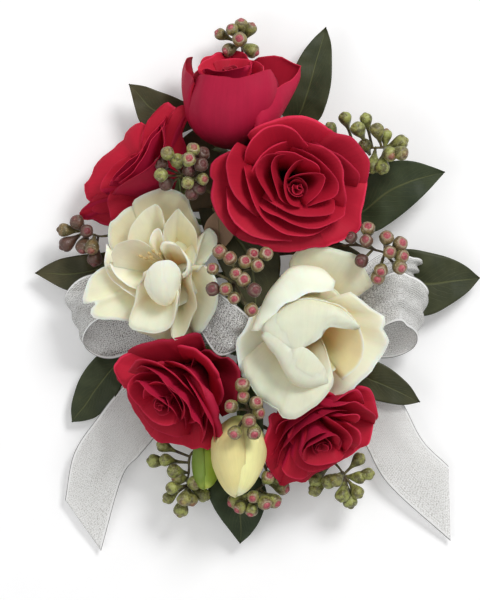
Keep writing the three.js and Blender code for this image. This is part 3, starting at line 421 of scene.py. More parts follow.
def stretched(across, along, x, y, z=0.0):
    """A vector from two values at their own scales, for streaks"""
    made = node(across.tree, "ShaderNodeCombineXYZ", {"X": across * x, "Y": along * y, "Z": z})
    return made.outputs[0]


COLOUR, NUMBER = "NodeSocketColor", "NodeSocketFloat"
WHITE, BLACK = (1, 1, 1, 1), (0, 0, 0, 1)


def new_group(name, inputs, outputs):
    """A shader node group with its inputs' defaults and its outputs' kinds by name"""
    tree = bpy.data.node_groups.new(name, "ShaderNodeTree")
    for label, default in inputs.items():
        kind = COLOUR if isinstance(default, tuple) else NUMBER
        socket = tree.interface.new_socket(label, in_out="INPUT", socket_type=kind)
        socket.default_value = default
    for label, kind in outputs.items():
        tree.interface.new_socket(label, in_out="OUTPUT", socket_type=kind)
    entry = tree.nodes.new("NodeGroupInput")
    given = {label: Value(tree, entry.outputs[label]) for label in inputs}
    return tree, given, tree.nodes.new("NodeGroupOutput")


def placed(tree, name, build, values):
    """What a shared group gives when it is placed in a material with its own values"""
    group = bpy.data.node_groups.get(name) or build(name)
    made = node(tree, "ShaderNodeGroup", values, node_tree=group)
    return {socket.name: Value(tree, socket) for socket in made.outputs}


def build_petal_tint(name):
    """Petal colour from foot to lip, with long veins and a tone of its own for each petal. The Deep
    colour toward the foot and a petal's tint toward Tan or Deep are partly painted shade, and the
    roses' Rim is partly a painted highlight.
    """
    tree, given, result = new_group(
        name,
        {"Deep": BLACK, "Body": WHITE, "Back": WHITE, "Rim": WHITE, "Tan": WHITE,
         "Deep from": 0.3, "Deep to": 0.9, "Rim from": 0.9, "Veins": 0.2},
        {"Colour": COLOUR, "Height": NUMBER},
    )
    along, across, side, tone, tint = values_of(tree, *Shell.VALUES)
    streaks = grain(tree, 1.0, 4, stretched(across, along, 34, 2.2, tone), 0.6)
    fine = grain(tree, 1.0, 2, stretched(across, along, 95, 5, tone), 0.6)
    clouds = grain(tree, 130, 3)
    # A petal's tint moves its face toward Tan, or toward Deep where the tint is below 0: painted
    # shade on the shaded rose and freesia petals
    face = coated(
        given["Body"],
        (side, given["Back"]),
        (calc("MAXIMUM", tint, 0.0), given["Tan"]),
        (calc("MAXIMUM", tint * -1.0, 0.0), given["Deep"]),
    )
    # Toward the foot the colour goes to Deep: partly painted shade between the petals, partly the
    # foot's own colour
    depth = along.spread(given["Deep from"], given["Deep to"])
    rim = (along + clouds * 0.03).spread(given["Rim from"], 1.0)
    rim = rim * tone.spread(0.15, 0.75, 0.25, 1.0)
    colour = mix(rim, mix(depth, given["Deep"], face), given["Rim"])
    light = (streaks - 0.5) * given["Veins"] + 1.0
    light = light + (tone - 0.5) * 0.26 + (clouds - 0.5) * 0.2
    lit = node(tree, "ShaderNodeVectorMath", {0: colour, "Scale": light}, operation="SCALE")
    height = streaks * 0.6 + fine * 0.25 + clouds * 0.3
    feed(tree, result, {"Colour": lit.outputs[0], "Height": height})
    return tree


def material_of(name, paint, roughness=0.5, **constants):
    """The material of that name, which paint(tree, shader) finishes at its first use"""
    material = bpy.data.materials.get(name)
    if material:
        return material
    material = bpy.data.materials.new(name)
    material.use_nodes = True
    shader = material.node_tree.nodes["Principled BSDF"]
    shader.inputs["Roughness"].default_value = roughness
    for label, value in constants.items():
        shader.inputs[label.replace("_", " ")].default_value = value
    paint(material.node_tree, shader)
    return material


def painted(name, roughness=0.5, **constants):
    """Turns a function that paints a shader into one that gives its material"""
    return lambda paint: lambda: material_of(name, paint, roughness, **constants)


def dress(tree, shader, colour, height, strength, distance):
    """Gives a shader its colour, and the bumps that a height makes"""
    inputs = {"Strength": strength, "Distance": distance, "Height": height}
    bump = node(tree, "ShaderNodeBump", inputs)
    feed(tree, shader, {"Base Color": colour, "Normal": bump.outputs[0]})


def petal_material(name, values, roughness, bump, **constants):
    def paint(tree, shader):
        tint = placed(tree, "petal tint", build_petal_tint, values)
        dress(tree, shader, tint["Colour"], tint["Height"], bump, 0.5 * MM)
        feed(tree, shader, {"Roughness": grain(tree, 420, 2) * 0.16 + (roughness - 0.08)})

    return material_of(name, paint, roughness, **constants)


def rose_material(heart=False):
    c = colours()
    # The heart's petals are painted at 0.7 of the brightness and stay dark further up from their
    # feet: painted shade in the middle of the bloom
    heart_shade = 0.7 if heart else 1
    values = {
        # Deep and Tan are painted shade: the petals darken toward their feet, and tinted petals
        # darken all over
        "Deep": c.rose_shade,
        "Body": [part * heart_shade for part in c.rose_body[:3]] + [1],
        "Back": [part * heart_shade for part in c.rose_back[:3]] + [1],
        "Rim": c.rose_rim,
        "Tan": c.rose_shade,
        "Deep from": 0.1,
        "Deep to": 0.8 if heart else 0.55,
        "Rim from": TRACED,
        "Veins": 0.24,
    }
    name = "rose heart" if heart else "rose petal"
    return petal_material(name, values, roughness=0.62, bump=0.2, Specular_IOR_Level=0.16)


def freesia_material():
    c = colours()
    values = {
        # Deep reaches up to 0.8 of each petal: partly the yellow throat, partly painted warm shade
        # in the folds; Tan is painted shade on the tinted back petals
        "Deep": c.throat,
        "Body": c.cream,
        "Back": [0.96, 0.9, 0.7, 1],
        "Rim": c.cream_rim,
        "Tan": [0.7, 0.54, 0.3, 1],
        "Deep from": 0.0,
        "Deep to": 0.8,
        "Rim from": 0.93,
        "Veins": 0.09,
    }
    return petal_material("freesia petal", values, roughness=0.5, bump=0.16,
                          Subsurface_Weight=0.3, Subsurface_Scale=3 * MM, Specular_IOR_Level=0.35)


# Petals. A petal runs from a narrow foot at its bloom's seat to its traced rim, and on to its lip.
FOOT_OUT, FOOT_UP = 2.4, 1.2  # where a foot stands off its seat in millimetres
TRACED = 0.97  # the "along" value of a traced rim; the lip has 1
THINNING = 0.55  # how much of its foot's thickness a petal loses on the way to its rim

# Kinds of petal: the wall's slope at the rim in degrees, how far that slope holds as a share of the
# wall, the lip in millimetres, the lip's curl in degrees, and how far the rim's ends sink and its
# ruffle in millimetres
FORMS = {
    "roll": (62, 0.5, 0.28, 60, 3, 0.2),
    "cup": (50, 0.5, 0.34, 80, 6, 0.3),
    "open": (34, 0.5, 0.5, 100, 6, 0.4),
    "fold": (42, 0.5, 4.6, 125, 4, 0.3),
    "flare": (14, 0.55, 1.0, 120, 3.5, 0.7),
    "soft": (48, 0.5, 0.4, 50, 2, 0.4),
    "wide": (12, 0.55, 0.9, 60, 1.5, 0.6),
}


def petal(form, height, rim, via=None, via_height=None, lift=None, tint=0.0):
    """height lists what the rim stands at in millimetres; lift measures it along the axis. A petal
    with a via bulges through that second traced line on its way to the rim."""
    return dict(form=form, height=height, rim=rim, via=via, via_height=via_height, lift=lift,
                tint=tint)


class Bloom:
    """A bloom's seat and axis, with sideways directions: ahead toward the viewer, beside across"""

    def __init__(self, seat, axis):
        self.seat = share(seat)
        self.axis = Vector(axis).normalized()
        up = Vector((0, 0, 1))
        self.ahead = (up - self.axis * up.dot(self.axis)).normalized()
        self.beside = self.ahead.cross(self.axis)

    def toward(self, degrees):
        """The sideways direction at an angle round the axis"""
        angle = math.radians(degrees)
        return self.ahead * math.cos(angle) + self.beside * math.sin(angle)

    def arc(self, lift, sweep, radius, start):
        """Rim points round the axis, at a lift, from an angle through a sweep in degrees"""
        count = 8
        points = []
        for k in range(count + 1):
            part = k / count
            rise = between(lift, part) * MM
            way = self.toward(start + sweep * part) * (radius * MM)
            points.append(self.seat + self.axis * rise + way)
        return points

    def traced(self, path, heights, lift=None):
        """Points that show at the pixels, at heights or at a lift along the axis"""
        points = []
        last = len(path) - 1
        for k, (px, py) in enumerate(path):
            if lift is None:
                height = between(heights, k / last)
            else:
                flat = spot(px, py, SHARP / MM)
                gap = between(lift, k / last) * MM
                gap -= (flat.x - self.seat.x) * self.axis.x + (flat.y - self.seat.y) * self.axis.y
                height = (self.seat.z + gap / self.axis.z) / MM
            points.append(spot(px, py, height))
        return points

    def offset(self, point):
        """The way to a point from the axis"""
        offset = point - self.seat
        return offset - self.axis * offset.dot(self.axis)

    def petal_grid(self, form, rim, via, seed, columns=20, rows=14, lip_rows=4):
        """Rows of points from foot to lip, the way out of each column, and the rim's row"""
        slope, hold, lip, curl, sink, ruffle = FORMS[form]
        slope = math.radians(slope)
        rim = smooth_path(rim, columns)
        for i, point in enumerate(rim):  # the rim's ends sink along their last four tenths
            point.z -= sink * MM * max(0, abs(2 * i / columns - 1) - 0.6) ** 2 / 0.16
        via = smooth_path(via, columns) if via else None
        out_middle = self.offset(sum(rim, Vector()) / len(rim)).normalized()
        grid = [[] for _ in range(rows + lip_rows + 1)]
        outs = []
        for i, point in enumerate(rim):
            radial = self.offset(point)
            out = radial.normalized() if radial.length > 1 * MM else out_middle
            out = (out + out_middle * 0.5).normalized()
            foot = self.seat + out * FOOT_OUT * MM + self.axis * FOOT_UP * MM
            if via:  # the curve meets its via point at 0.6 of its run
                control = (via[i] - foot * 0.16 - point * 0.36) / 0.48
            else:
                reach = hold * (point - foot).length
                control = point - (out * math.cos(slope) + self.axis * math.sin(slope)) * reach
            edge = abs(2 * i / columns - 1)
            wobble = wave(point, 7 * MM, seed) * ruffle
            wobble += wave(point, 2.6 * MM, seed + 5) * ruffle * 0.35
            for j in range(rows + 1):
                t = j / rows
                place = foot * (1 - t) ** 2 + control * 2 * t * (1 - t) + point * t * t
                place = place + self.axis * wobble * MM * t ** 3
                place = place + out * wave(place, 9 * MM, seed + 9) * 0.7 * MM * t * (1.2 - t)
                place = place + out * wave(point, 4 * MM, seed + 7) * ruffle * 0.6 * MM * t ** 4
                grid[j].append(place)
            ahead = (point - control).normalized()
            fold = (out - ahead * out.dot(ahead)).normalized()
            reach = lip * MM * (1 - 0.6 * edge ** 3) * (1 + 0.35 * wave(point, 5 * MM, seed + 2))
            bend = math.radians(curl)
            for j in range(1, lip_rows + 1):
                turn = bend * j / lip_rows
                way = ahead * math.sin(turn) + fold * (1 - math.cos(turn))
                grid[rows + j].append(grid[rows][i] + way * reach / 1.6)
            outs.append(out)
        return grid, outs, rows

    def add_petal(self, shell, form, rim, via, seed, thickness, tint=0.0, **sizing):
        grid, outs, rows = self.petal_grid(form, rim, via, seed, **sizing)

        def thick(j, i):
            return thickness * (1 - THINNING * min(j / rows, 1))

        alongs = [TRACED * j / rows if j <= rows else 1.0 for j in range(len(grid))]
        shell.sheet(grid, thick, outs, random.Random(seed).random(), tint, alongs)


def bloom_piece(name, bloom, petals, arcs, thickness, material, seed, **sizing):
    """A bloom of traced petals, with arcs of plain ones below them"""
    shell = Shell()
    for k, spec in enumerate(petals):
        rim = bloom.traced(spec["rim"], spec["height"], spec["lift"])
        via = spec["via"] and bloom.traced(spec["via"], spec["via_height"])
        bloom.add_petal(shell, spec["form"], rim, via, seed + k, thickness, spec["tint"], **sizing)
    plain = [(form, bloom.arc(*arc, start)) for form, *arc, starts in arcs for start in starts]
    for k, (form, rim) in enumerate(plain):
        bloom.add_petal(shell, form, rim, None, seed + 50 + k, thickness, **sizing)
    return shell.piece(name, [material])


# The roses' traced petals, outer ones first
ROSE_CENTRE = [
    petal("flare", None, [(248, 136), (254.8, 129.5), (266.3, 124.4), (281.6, 120.6),
        (294.4, 117.4), (309.7, 119.3), (322.4, 125.7), (335.2, 134.6)], lift=(17, 18, 17)),
    petal("flare", None, [(326, 129), (335.2, 134.6), (351.8, 139.7), (362, 152.5), (368.6, 164),
        (365.8, 181.8), (364, 188)], lift=(18, 18, 19)),
    petal("flare", None, [(366.5, 174), (365.8, 181.8), (363.9, 197.1), (360.1, 212.4),
        (358.2, 229), (344.1, 238), (327.6, 245), (318, 247)], lift=(18, 19, 21)),
    petal("flare", None, [(335, 242), (327.6, 245), (309.7, 246.3), (289.3, 251), (271.4, 248.8),
        (261.2, 244.3), (242.1, 239.2), (236, 233)], lift=(20, 21, 20)),
    petal("flare", None, [(238, 237), (230.6, 230.3), (220.4, 216.3), (214.7, 203.5), (213.4, 192),
        (215.9, 181.8), (212.1, 176.7), (214, 162.7), (231.9, 151.2), (243, 147)],
        lift=(19, 17, 18)),
    petal("open", None, [(227, 186), (227.4, 194.6), (229.3, 211.2), (238.3, 225.2), (251, 234.1),
        (263.8, 238), (281.6, 240), (300, 241)], lift=(21, 23, 22)),
    petal("open", None, [(244.6, 161.4), (246.6, 151.2), (253.6, 138.5), (266.3, 128.3),
        (281.6, 125.7), (294.4, 130.8), (304.6, 142.3), (312, 150)], lift=(23, 22, 24)),
    petal("open", None, [(238, 142), (233.8, 146.1), (227.4, 161.4), (227.4, 171.6), (230.6, 184.4),
        (238.3, 198.4), (251, 211.2), (258, 217)], lift=(22, 23, 25)),
    petal("open", None, [(312, 141), (327.6, 149.9), (341.6, 157.6), (358.2, 174.2), (356, 188)],
        lift=(21, 22, 22)),
    petal("open", None, [(304.6, 142.3), (327.6, 149.9), (341.6, 166.5), (343, 184.4),
        (345.4, 199.7), (342, 212)], lift=(24, 25, 25)),
    petal("cup", None, [(244, 166), (248.5, 184.4), (252.3, 198.4), (259.9, 213.7), (271.4, 225.2),
        (286.7, 234.1), (304.6, 236), (317.3, 232.9), (330, 225)], lift=(25, 26, 25)),
    petal("cup", None, [(256, 201), (265.1, 210.5), (281.6, 217.6), (296.9, 225.2), (311, 228.4),
        (325, 225.2), (342.9, 216.3), (345.4, 204)], lift=(27, 27.5, 26)),
    petal("cup", None, [(292, 147), (305.9, 152), (320, 161), (332.7, 174.2), (338.4, 184.4),
        (335.2, 195.9), (319.9, 202.2), (302, 208)], lift=(26, 27, 28)),
    petal("cup", None, [(262, 197), (277.8, 206.1), (289.3, 212.4), (302, 215.6), (318.6, 215.6),
        (332.7, 212.4), (334.6, 199.7)], lift=(28, 29, 27.5)),
    petal("cup", None, [(296, 154), (277.8, 153.8), (266.3, 155.1), (257.4, 164), (256.1, 171.6),
        (259.9, 181.8), (266.3, 192), (274, 203.5), (279.7, 213.7)], lift=(27, 28, 28)),
    petal("cup", None, [(266, 158), (277.8, 152.5), (291.8, 152.5), (305.9, 158.9), (318.6, 166.5),
        (320, 176)], lift=(27, 27.5, 28)),
    petal("roll", None, [(288, 154), (276.5, 156.3), (271.4, 165.3), (272.7, 176.7), (276.5, 189.5),
        (281, 200), (290, 206)], lift=(28, 28.5, 29)),
    petal("roll", None, [(286.7, 179.3), (296.9, 174.8), (312.2, 172.9), (322.4, 174.2),
        (325, 179.3), (319.9, 192), (305.9, 204.8)], lift=(29, 29, 29.5)),
    petal("roll", None, [(306, 159), (296.9, 161.4), (289.3, 169.1), (285.5, 176.7), (284.2, 186.9),
        (286.7, 198.4), (291.8, 204.8), (300.8, 207.3)], lift=(29, 30, 30)),
]

ROSE_TOP = [
    petal("cup", (18, 24, 34, 41), [(193, 56.5), (186.5, 59.2), (185.2, 66), (186.1, 71.3),
        (192.3, 77), (194.5, 85)], via=[(196, 80), (186.5, 86), (184.8, 98), (185.2, 108),
        (186.5, 117), (192, 124)], via_height=(13, 18, 25, 30)),
    petal("open", (20, 20, 22, 26, 38, 43, 44), [(252, 62), (255.7, 58.3), (268.2, 56.5), (278, 56),
        (285.2, 59.6), (294, 64), (300.4, 67.7), (293.2, 79.3), (284.3, 84.6), (275.4, 90),
        (263.8, 97), (257.5, 104.3), (253.5, 115.9), (253.5, 128)], via=[(252, 84), (256, 80),
        (264, 78), (272, 78), (282, 78), (290, 82), (295, 88), (291, 98), (285, 108), (279, 116),
        (272, 122), (266, 128), (260, 134), (255, 138)], via_height=(16, 18, 20, 24, 34, 40, 40)),
    petal("cup", (34, 43, 46, 47, 44, 38), [(196, 80), (199.5, 75.7), (208.4, 75.7), (220, 77),
        (230.7, 78.4), (236, 79.3), (246.8, 77), (255.7, 73.9), (264.6, 71.3), (270.9, 70.2),
        (275, 76)], via=[(189, 118), (192, 121), (202, 124), (214, 125), (226, 125), (236, 123),
        (247, 119), (258, 113), (267, 107), (274, 101), (277, 97)],
        via_height=(28, 38, 43, 44, 42, 36)),
    petal("cup", (18, 14, 13, 16), [(199, 66), (203.9, 58.3), (212, 56), (218.2, 52.5), (227, 53.4),
        (231.6, 52)]),
    petal("cup", (13, 12, 14, 24, 34), [(225.4, 60), (227.1, 54.3), (231.6, 50.7), (237.9, 51.2),
        (244.1, 53.4), (248.6, 59.6), (250.8, 64), (251.7, 73)]),
    petal("cup", (36, 30, 22, 17), [(200, 76), (198.6, 69.5), (199.5, 65.9), (204, 61.4),
        (212, 57.5), (218.2, 53.5), (226, 54)]),
    petal("roll", (34, 36, 34), [(200.8, 71.3), (206.6, 68.6), (214, 71), (223.6, 71.3),
        (232.5, 69.9), (241.4, 67.7), (248.6, 65.4), (250.8, 65.9)]),
    petal("roll", (26, 20, 22), [(212.9, 66), (215, 62), (224, 60.5), (236, 61), (246, 62),
        (249, 66)]),
]

ROSE_LOWER_LEFT = [
    # The tints of the first two petals paint them toward the dark shade red: painted shade
    petal("flare", (24, 31, 33, 32, 28), [(126, 358), (130.9, 350), (156.8, 342.6), (169.8, 342.1),
        (190.1, 336.1), (199.4, 335.2), (203.1, 344.4), (206, 354)], tint=0.3),
    petal("flare", (30, 31, 30, 27), [(188, 378), (194, 358), (206, 351), (217.9, 358.3),
        (228, 359.2), (238.2, 373.1), (235.4, 389.8), (233.6, 408.3), (221.6, 415.7)], tint=0.55),
    petal("flare", (25, 24, 27), [(124, 388), (115.2, 370.3), (118, 362.9), (126.3, 355.5),
        (142, 350)]),
    petal("flare", (23, 24, 23), [(115.2, 372), (118.9, 380.5), (127.2, 388.8), (129.1, 399),
        (140.2, 417.5), (149.4, 433.2), (157.7, 442)]),
    petal("flare", (24, 22, 23), [(146, 428), (157.7, 441), (168.8, 442.5), (182.7, 444.3),
        (192, 448), (201.2, 446.2), (207.7, 449.4), (212.3, 445.3), (222.5, 441.6)]),
    petal("open", (36, 43, 42, 36), [(128, 372), (138.3, 360.2), (149.4, 360.6), (160.5, 364.8),
        (173.5, 375), (183.6, 385.1), (191, 391.6), (196, 400)]),
    petal("fold", (37, 38, 34, 28), [(187, 377), (193, 384), (199.5, 394), (206, 407), (211.5, 420),
        (215, 432), (216, 443)]),
    petal("cup", (40, 43, 36), [(183, 374), (187.3, 379.6), (197.5, 396.2), (205.8, 412.9),
        (214.2, 429.5), (214, 442)]),
    petal("cup", (34, 45, 45, 38, 30), [(134, 372), (142, 365.7), (156.8, 374), (164.2, 382.4),
        (175.3, 397.2), (181.8, 410.1), (185.5, 420.3), (185.5, 434.2)]),
    petal("cup", (44, 46, 44, 38), [(152, 370), (158.7, 375), (169.8, 387.9), (180.9, 397.2),
        (188.3, 406.4), (192, 418.4), (200.3, 424.4), (204, 436)]),
    petal("open", (38, 32, 26), [(212, 406), (207.7, 413.8), (204.9, 431.4), (200.3, 444.3)]),
    petal("cup", (38, 34, 34, 36), [(150, 370), (136.5, 375), (129.1, 382.4), (128.1, 389.8),
        (132.8, 399), (142, 408.3), (150, 416)]),
    petal("cup", (38, 43, 45, 40), [(133, 384), (137.4, 380.5), (145.7, 389), (149.4, 393),
        (160.5, 400), (172, 409), (179, 420)]),
    petal("open", (30, 30, 31), [(134, 402), (142, 414), (152, 426), (164, 433), (178, 436),
        (190, 434)]),
    petal("cup", (36, 36, 38), [(138, 404), (146, 414), (156, 422), (168, 425), (180, 420)]),
]

ROSE_LOWER_RIGHT = [
    petal("flare", (30, 31, 28, 23), [(284, 420), (277.4, 413.7), (271, 417.8), (271.2, 426),
        (267.4, 436), (265.4, 444.3), (265.8, 456.8), (267.9, 468)]),
    petal("flare", (26, 25, 24, 23), [(350, 388), (357.8, 387.1), (366.9, 389.6), (371.9, 396.2),
        (374.4, 405.4), (376.8, 417.8), (371.2, 421.5)]),
    petal("flare", (23, 23, 24), [(374, 415), (371.9, 427), (370.7, 433), (369.4, 439.4),
        (366.9, 444.3), (357.8, 448.5), (350.4, 454.3), (338, 461.7)]),
    petal("flare", (25, 23, 21), [(352, 453), (338, 461.7), (326.3, 467.6), (313, 474.2),
        (304.8, 481.6), (294.8, 480.8), (282.4, 485), (276, 476)]),
    petal("flare", (22, 22, 26), [(284, 484), (277, 478), (271, 470), (268, 462), (272, 452)]),
    petal("flare", (36, 33, 32, 30), [(332, 404), (341.2, 398.7), (350.4, 392.9), (355.3, 390.9),
        (359.5, 395.4), (362.8, 404)]),
    petal("open", (40, 39, 34, 28), [(328, 407), (342, 405.4), (354.5, 402), (366.9, 409.5),
        (374.4, 415.3), (374, 424)]),
    petal("open", (30, 31, 30), [(275, 436), (277.4, 427.8), (282.4, 422), (291.5, 419.5),
        (299.8, 418.6), (308, 414)]),
    petal("cup", (24, 31, 33, 33, 34), [(270.8, 463.4), (276.6, 448.5), (279.9, 441), (286.5, 431),
        (294, 424.4), (301.4, 419.5), (308, 414.5), (316.4, 409.5), (328, 406.2), (341, 407)]),
    petal("cup", (27, 34, 37, 39, 40), [(275.7, 470.9), (280.7, 451.4), (286.9, 444.3), (294, 436),
        (301.4, 428.6), (308, 423.6), (319.7, 417.8), (329.6, 412.8), (337.9, 410.3), (347, 411)]),
    petal("open", (41, 41, 40), [(338, 417), (342, 416), (352, 414.5), (357.8, 415.3), (359, 419.5),
        (355.3, 423.6)]),
    petal("open", (38, 35, 30), [(340, 420), (349.5, 425.3), (356.2, 429.4), (359.5, 436),
        (359, 443.5), (354, 450)]),
    petal("open", (26, 28, 28), [(281, 462), (284, 471), (291, 477), (302, 478), (312, 472)]),
    petal("cup", (43, 43, 38, 34), [(326, 416), (331.3, 419.5), (338.7, 424.4), (346.2, 431),
        (350.4, 436.9), (351.2, 443), (346, 452)]),
    petal("cup", (30, 32, 32, 32), [(289, 452), (294.8, 461), (299.8, 466.7), (308, 470.9),
        (313, 471.7), (326, 467.6), (338, 462)]),
    petal("cup", (38, 36, 35, 34), [(298, 450), (302.3, 458.4), (308, 463.4), (314.7, 464.7),
        (323.8, 464.2), (338, 461), (345, 454)]),
    petal("cup", (40, 43, 45, 45, 42), [(308, 461), (303, 458.4), (303.6, 453), (306.4, 448.5),
        (314.7, 443.5), (323, 438.5), (329.6, 436), (336.7, 435.2), (339.6, 439.4), (338.7, 446)]),
]

ROSE_UPPER_LEFT = [
    petal("flare", (27, 28, 25, 21), [(168, 116), (174.3, 110.4), (178.1, 106.5), (184.8, 105.6),
        (184.3, 116.6), (185.8, 118.5), (181.9, 127.1), (180, 134.7), (184.8, 150.1), (186, 160)]),
    petal("flare", (26, 24, 24, 29), [(143, 130), (145.6, 123.3), (151.3, 114.7), (165.7, 103.7),
        (170.4, 107), (173.8, 108.9), (169.5, 118.5)]),
    petal("flare", (25, 19, 16, 15, 17), [(149, 136), (147.5, 130.9), (143.7, 123.7), (136, 123.7),
        (127.4, 130.9), (123.6, 139.5), (119.7, 142.4), (112.1, 150.1), (95.8, 163.4), (92, 176.8),
        (85.8, 182.6), (86.3, 195), (90.1, 201.2), (98, 203)]),
    petal("flare", (20, 14, 13, 16), [(98, 192), (89.1, 202.7), (80, 213.7), (86.3, 218.9),
        (93, 218), (110.2, 224.2), (115, 219), (121.7, 210.3)]),
    petal("open", (19, 16, 15, 17), [(112, 192), (103, 199), (92, 209), (100, 213), (112, 213),
        (120, 205), (124, 198)]),
    petal("open", (26, 25, 22), [(113, 188), (108, 199), (110, 211), (113, 219), (119, 214),
        (122, 204)]),
    petal("open", (30, 26, 24, 27), [(150, 148), (140, 152), (124, 158), (112, 168), (103, 180),
        (101, 190), (108, 194)]),
    petal("cup", (30, 34, 36, 34), [(166, 116), (161.9, 122.3), (152.3, 132.8), (148.5, 138.6),
        (138.9, 153.9), (127.4, 161.6), (114, 175), (109, 186)]),
    petal("cup", (34, 37, 36), [(148, 142), (140.8, 152), (136, 160.6), (127.4, 169.2),
        (113, 181)]),
    petal("cup", (35, 39, 41, 38), [(165, 122), (161.9, 129), (151.3, 140.5), (146.6, 152),
        (137, 166.3), (131, 174), (118, 183)]),
    petal("cup", (36, 42, 43, 41, 36), [(160, 124), (162.8, 130.9), (164.2, 142.4), (159.9, 155.8),
        (152.3, 164.4), (142.7, 172.1), (131.2, 178.8), (118.8, 186.4), (112, 194)]),
]

# root: where the stem meets the spine; heart: its top and radius in millimetres and its turn;
# arcs: the plain petals' kind, lift, sweep, radius and starting angles
ROSES = {
    "rose_centre": dict(
        seat=(0.14, 0.45, 0.22), axis=(0.16, -0.16, 0.97), root=0.4, heart=(29.8, 4.6, 30),
        petals=ROSE_CENTRE,
        arcs=[("flare", 11, 96, 21, range(0, 360, 72)), ("open", 18, 112, 17, range(30, 390, 90))],
    ),
    "rose_top": dict(
        seat=(-0.04, 0.56, 0.17), axis=(-0.15, 0.91, 0.38), root=0.45, heart=(35.5, 5.6, 0),
        petals=ROSE_TOP,
        arcs=[("cup", 33, 110, 14.5, (90, 150, 210)), ("cup", 35, 140, 11, (120,))],
    ),
    "rose_lower_left": dict(
        seat=(-0.17, -0.29, 0.16), axis=(-0.52, -0.48, 0.7), root=-0.27, heart=(36.5, 5, 60),
        petals=ROSE_LOWER_LEFT,
        arcs=[("flare", 14, 110, 15, range(20, 380, 90)),
              ("open", 24, 120, 14, range(60, 420, 120)), ("cup", 33, 130, 9.5, (90, 210, 320))],
    ),
    "rose_lower_right": dict(
        seat=(0.2, -0.4, 0.17), axis=(0.27, -0.72, 0.64), root=-0.33, heart=(33, 4.6, 20),
        petals=ROSE_LOWER_RIGHT,
        arcs=[("flare", 12, 100, 12, (40, 130, 220)), ("open", 21, 110, 11, (70, 180)),
              ("cup", 31, 130, 8, (30, 150, 270))],
    ),
    "rose_upper_left": dict(
        seat=(-0.316, 0.358, 0.15), axis=(-0.66, 0.65, 0.46), root=0.3, heart=(26, 4.5, 40),
        petals=ROSE_UPPER_LEFT, arcs=[("flare", 12, 90, 12, (190,)), ("open", 20, 100, 11, (185,))],
    ),
}


# The petals rolled round a heart: where each starts and how far it runs in degrees, and its share
# of the heart's radius
HEART_ROLLS = ((0, 165, 1), (150, 150, 0.9), (265, 150, 0.78), (60, 170, 0.65), (195, 165, 0.5),
               (330, 190, 0.36), (120, 260, 0.21))


class CORSAGE_OT_roses(bpy.types.Operator):
    """Five red spray roses: their petals and their rolled hearts"""

    bl_idname = "corsage.roses"
    bl_label = "Roses"

    def execute(self, context):
        for number, (name, spec) in enumerate(ROSES.items()):
            bloom = Bloom(spec["seat"], spec["axis"])
            made = bloom_piece(f"{name}_bloom", bloom, spec["petals"], spec["arcs"],
                               sizes().rose_petal, rose_material(), 100 * number)
            settle(made, "rose_petal", f"{name}_petals")
            self.heart(name, bloom, *spec["heart"], seed=100 * number + 80)
        return {"FINISHED"}

    def heart(self, name, bloom, top, radius, start, seed):
        """Small petals rolled round each other, tighter and less even to the middle"""
        shell = Shell()
        rng = random.Random(seed)
        for k, (turn, sweep, part) in enumerate(HEART_ROLLS):
            lift = [top - 1.5 * part - rng.uniform(0, 2), top + 0.4 - part - rng.uniform(0, 1),
                    top - part - rng.uniform(0, 2.6)]
            rim = bloom.arc(lift, sweep, radius * part, start + turn)
            shift = bloom.ahead * rng.uniform(-1, 1) + bloom.beside * rng.uniform(-1, 1)
            shift = shift * radius * 0.4 * MM * (1 - part)
            across = [(point - bloom.seat).dot(bloom.beside) for point in rim]
            rim = [point + shift - bloom.beside * gap * 0.16 for point, gap in zip(rim, across)]
            bloom.add_petal(shell, "roll", rim, None, seed + k, 0.26 * MM,
                            columns=16, rows=10, lip_rows=3)
        made = shell.piece(f"{name}_roll", [rose_material(heart=True)])
        settle(made, "rose_heart", f"{name}_heart")


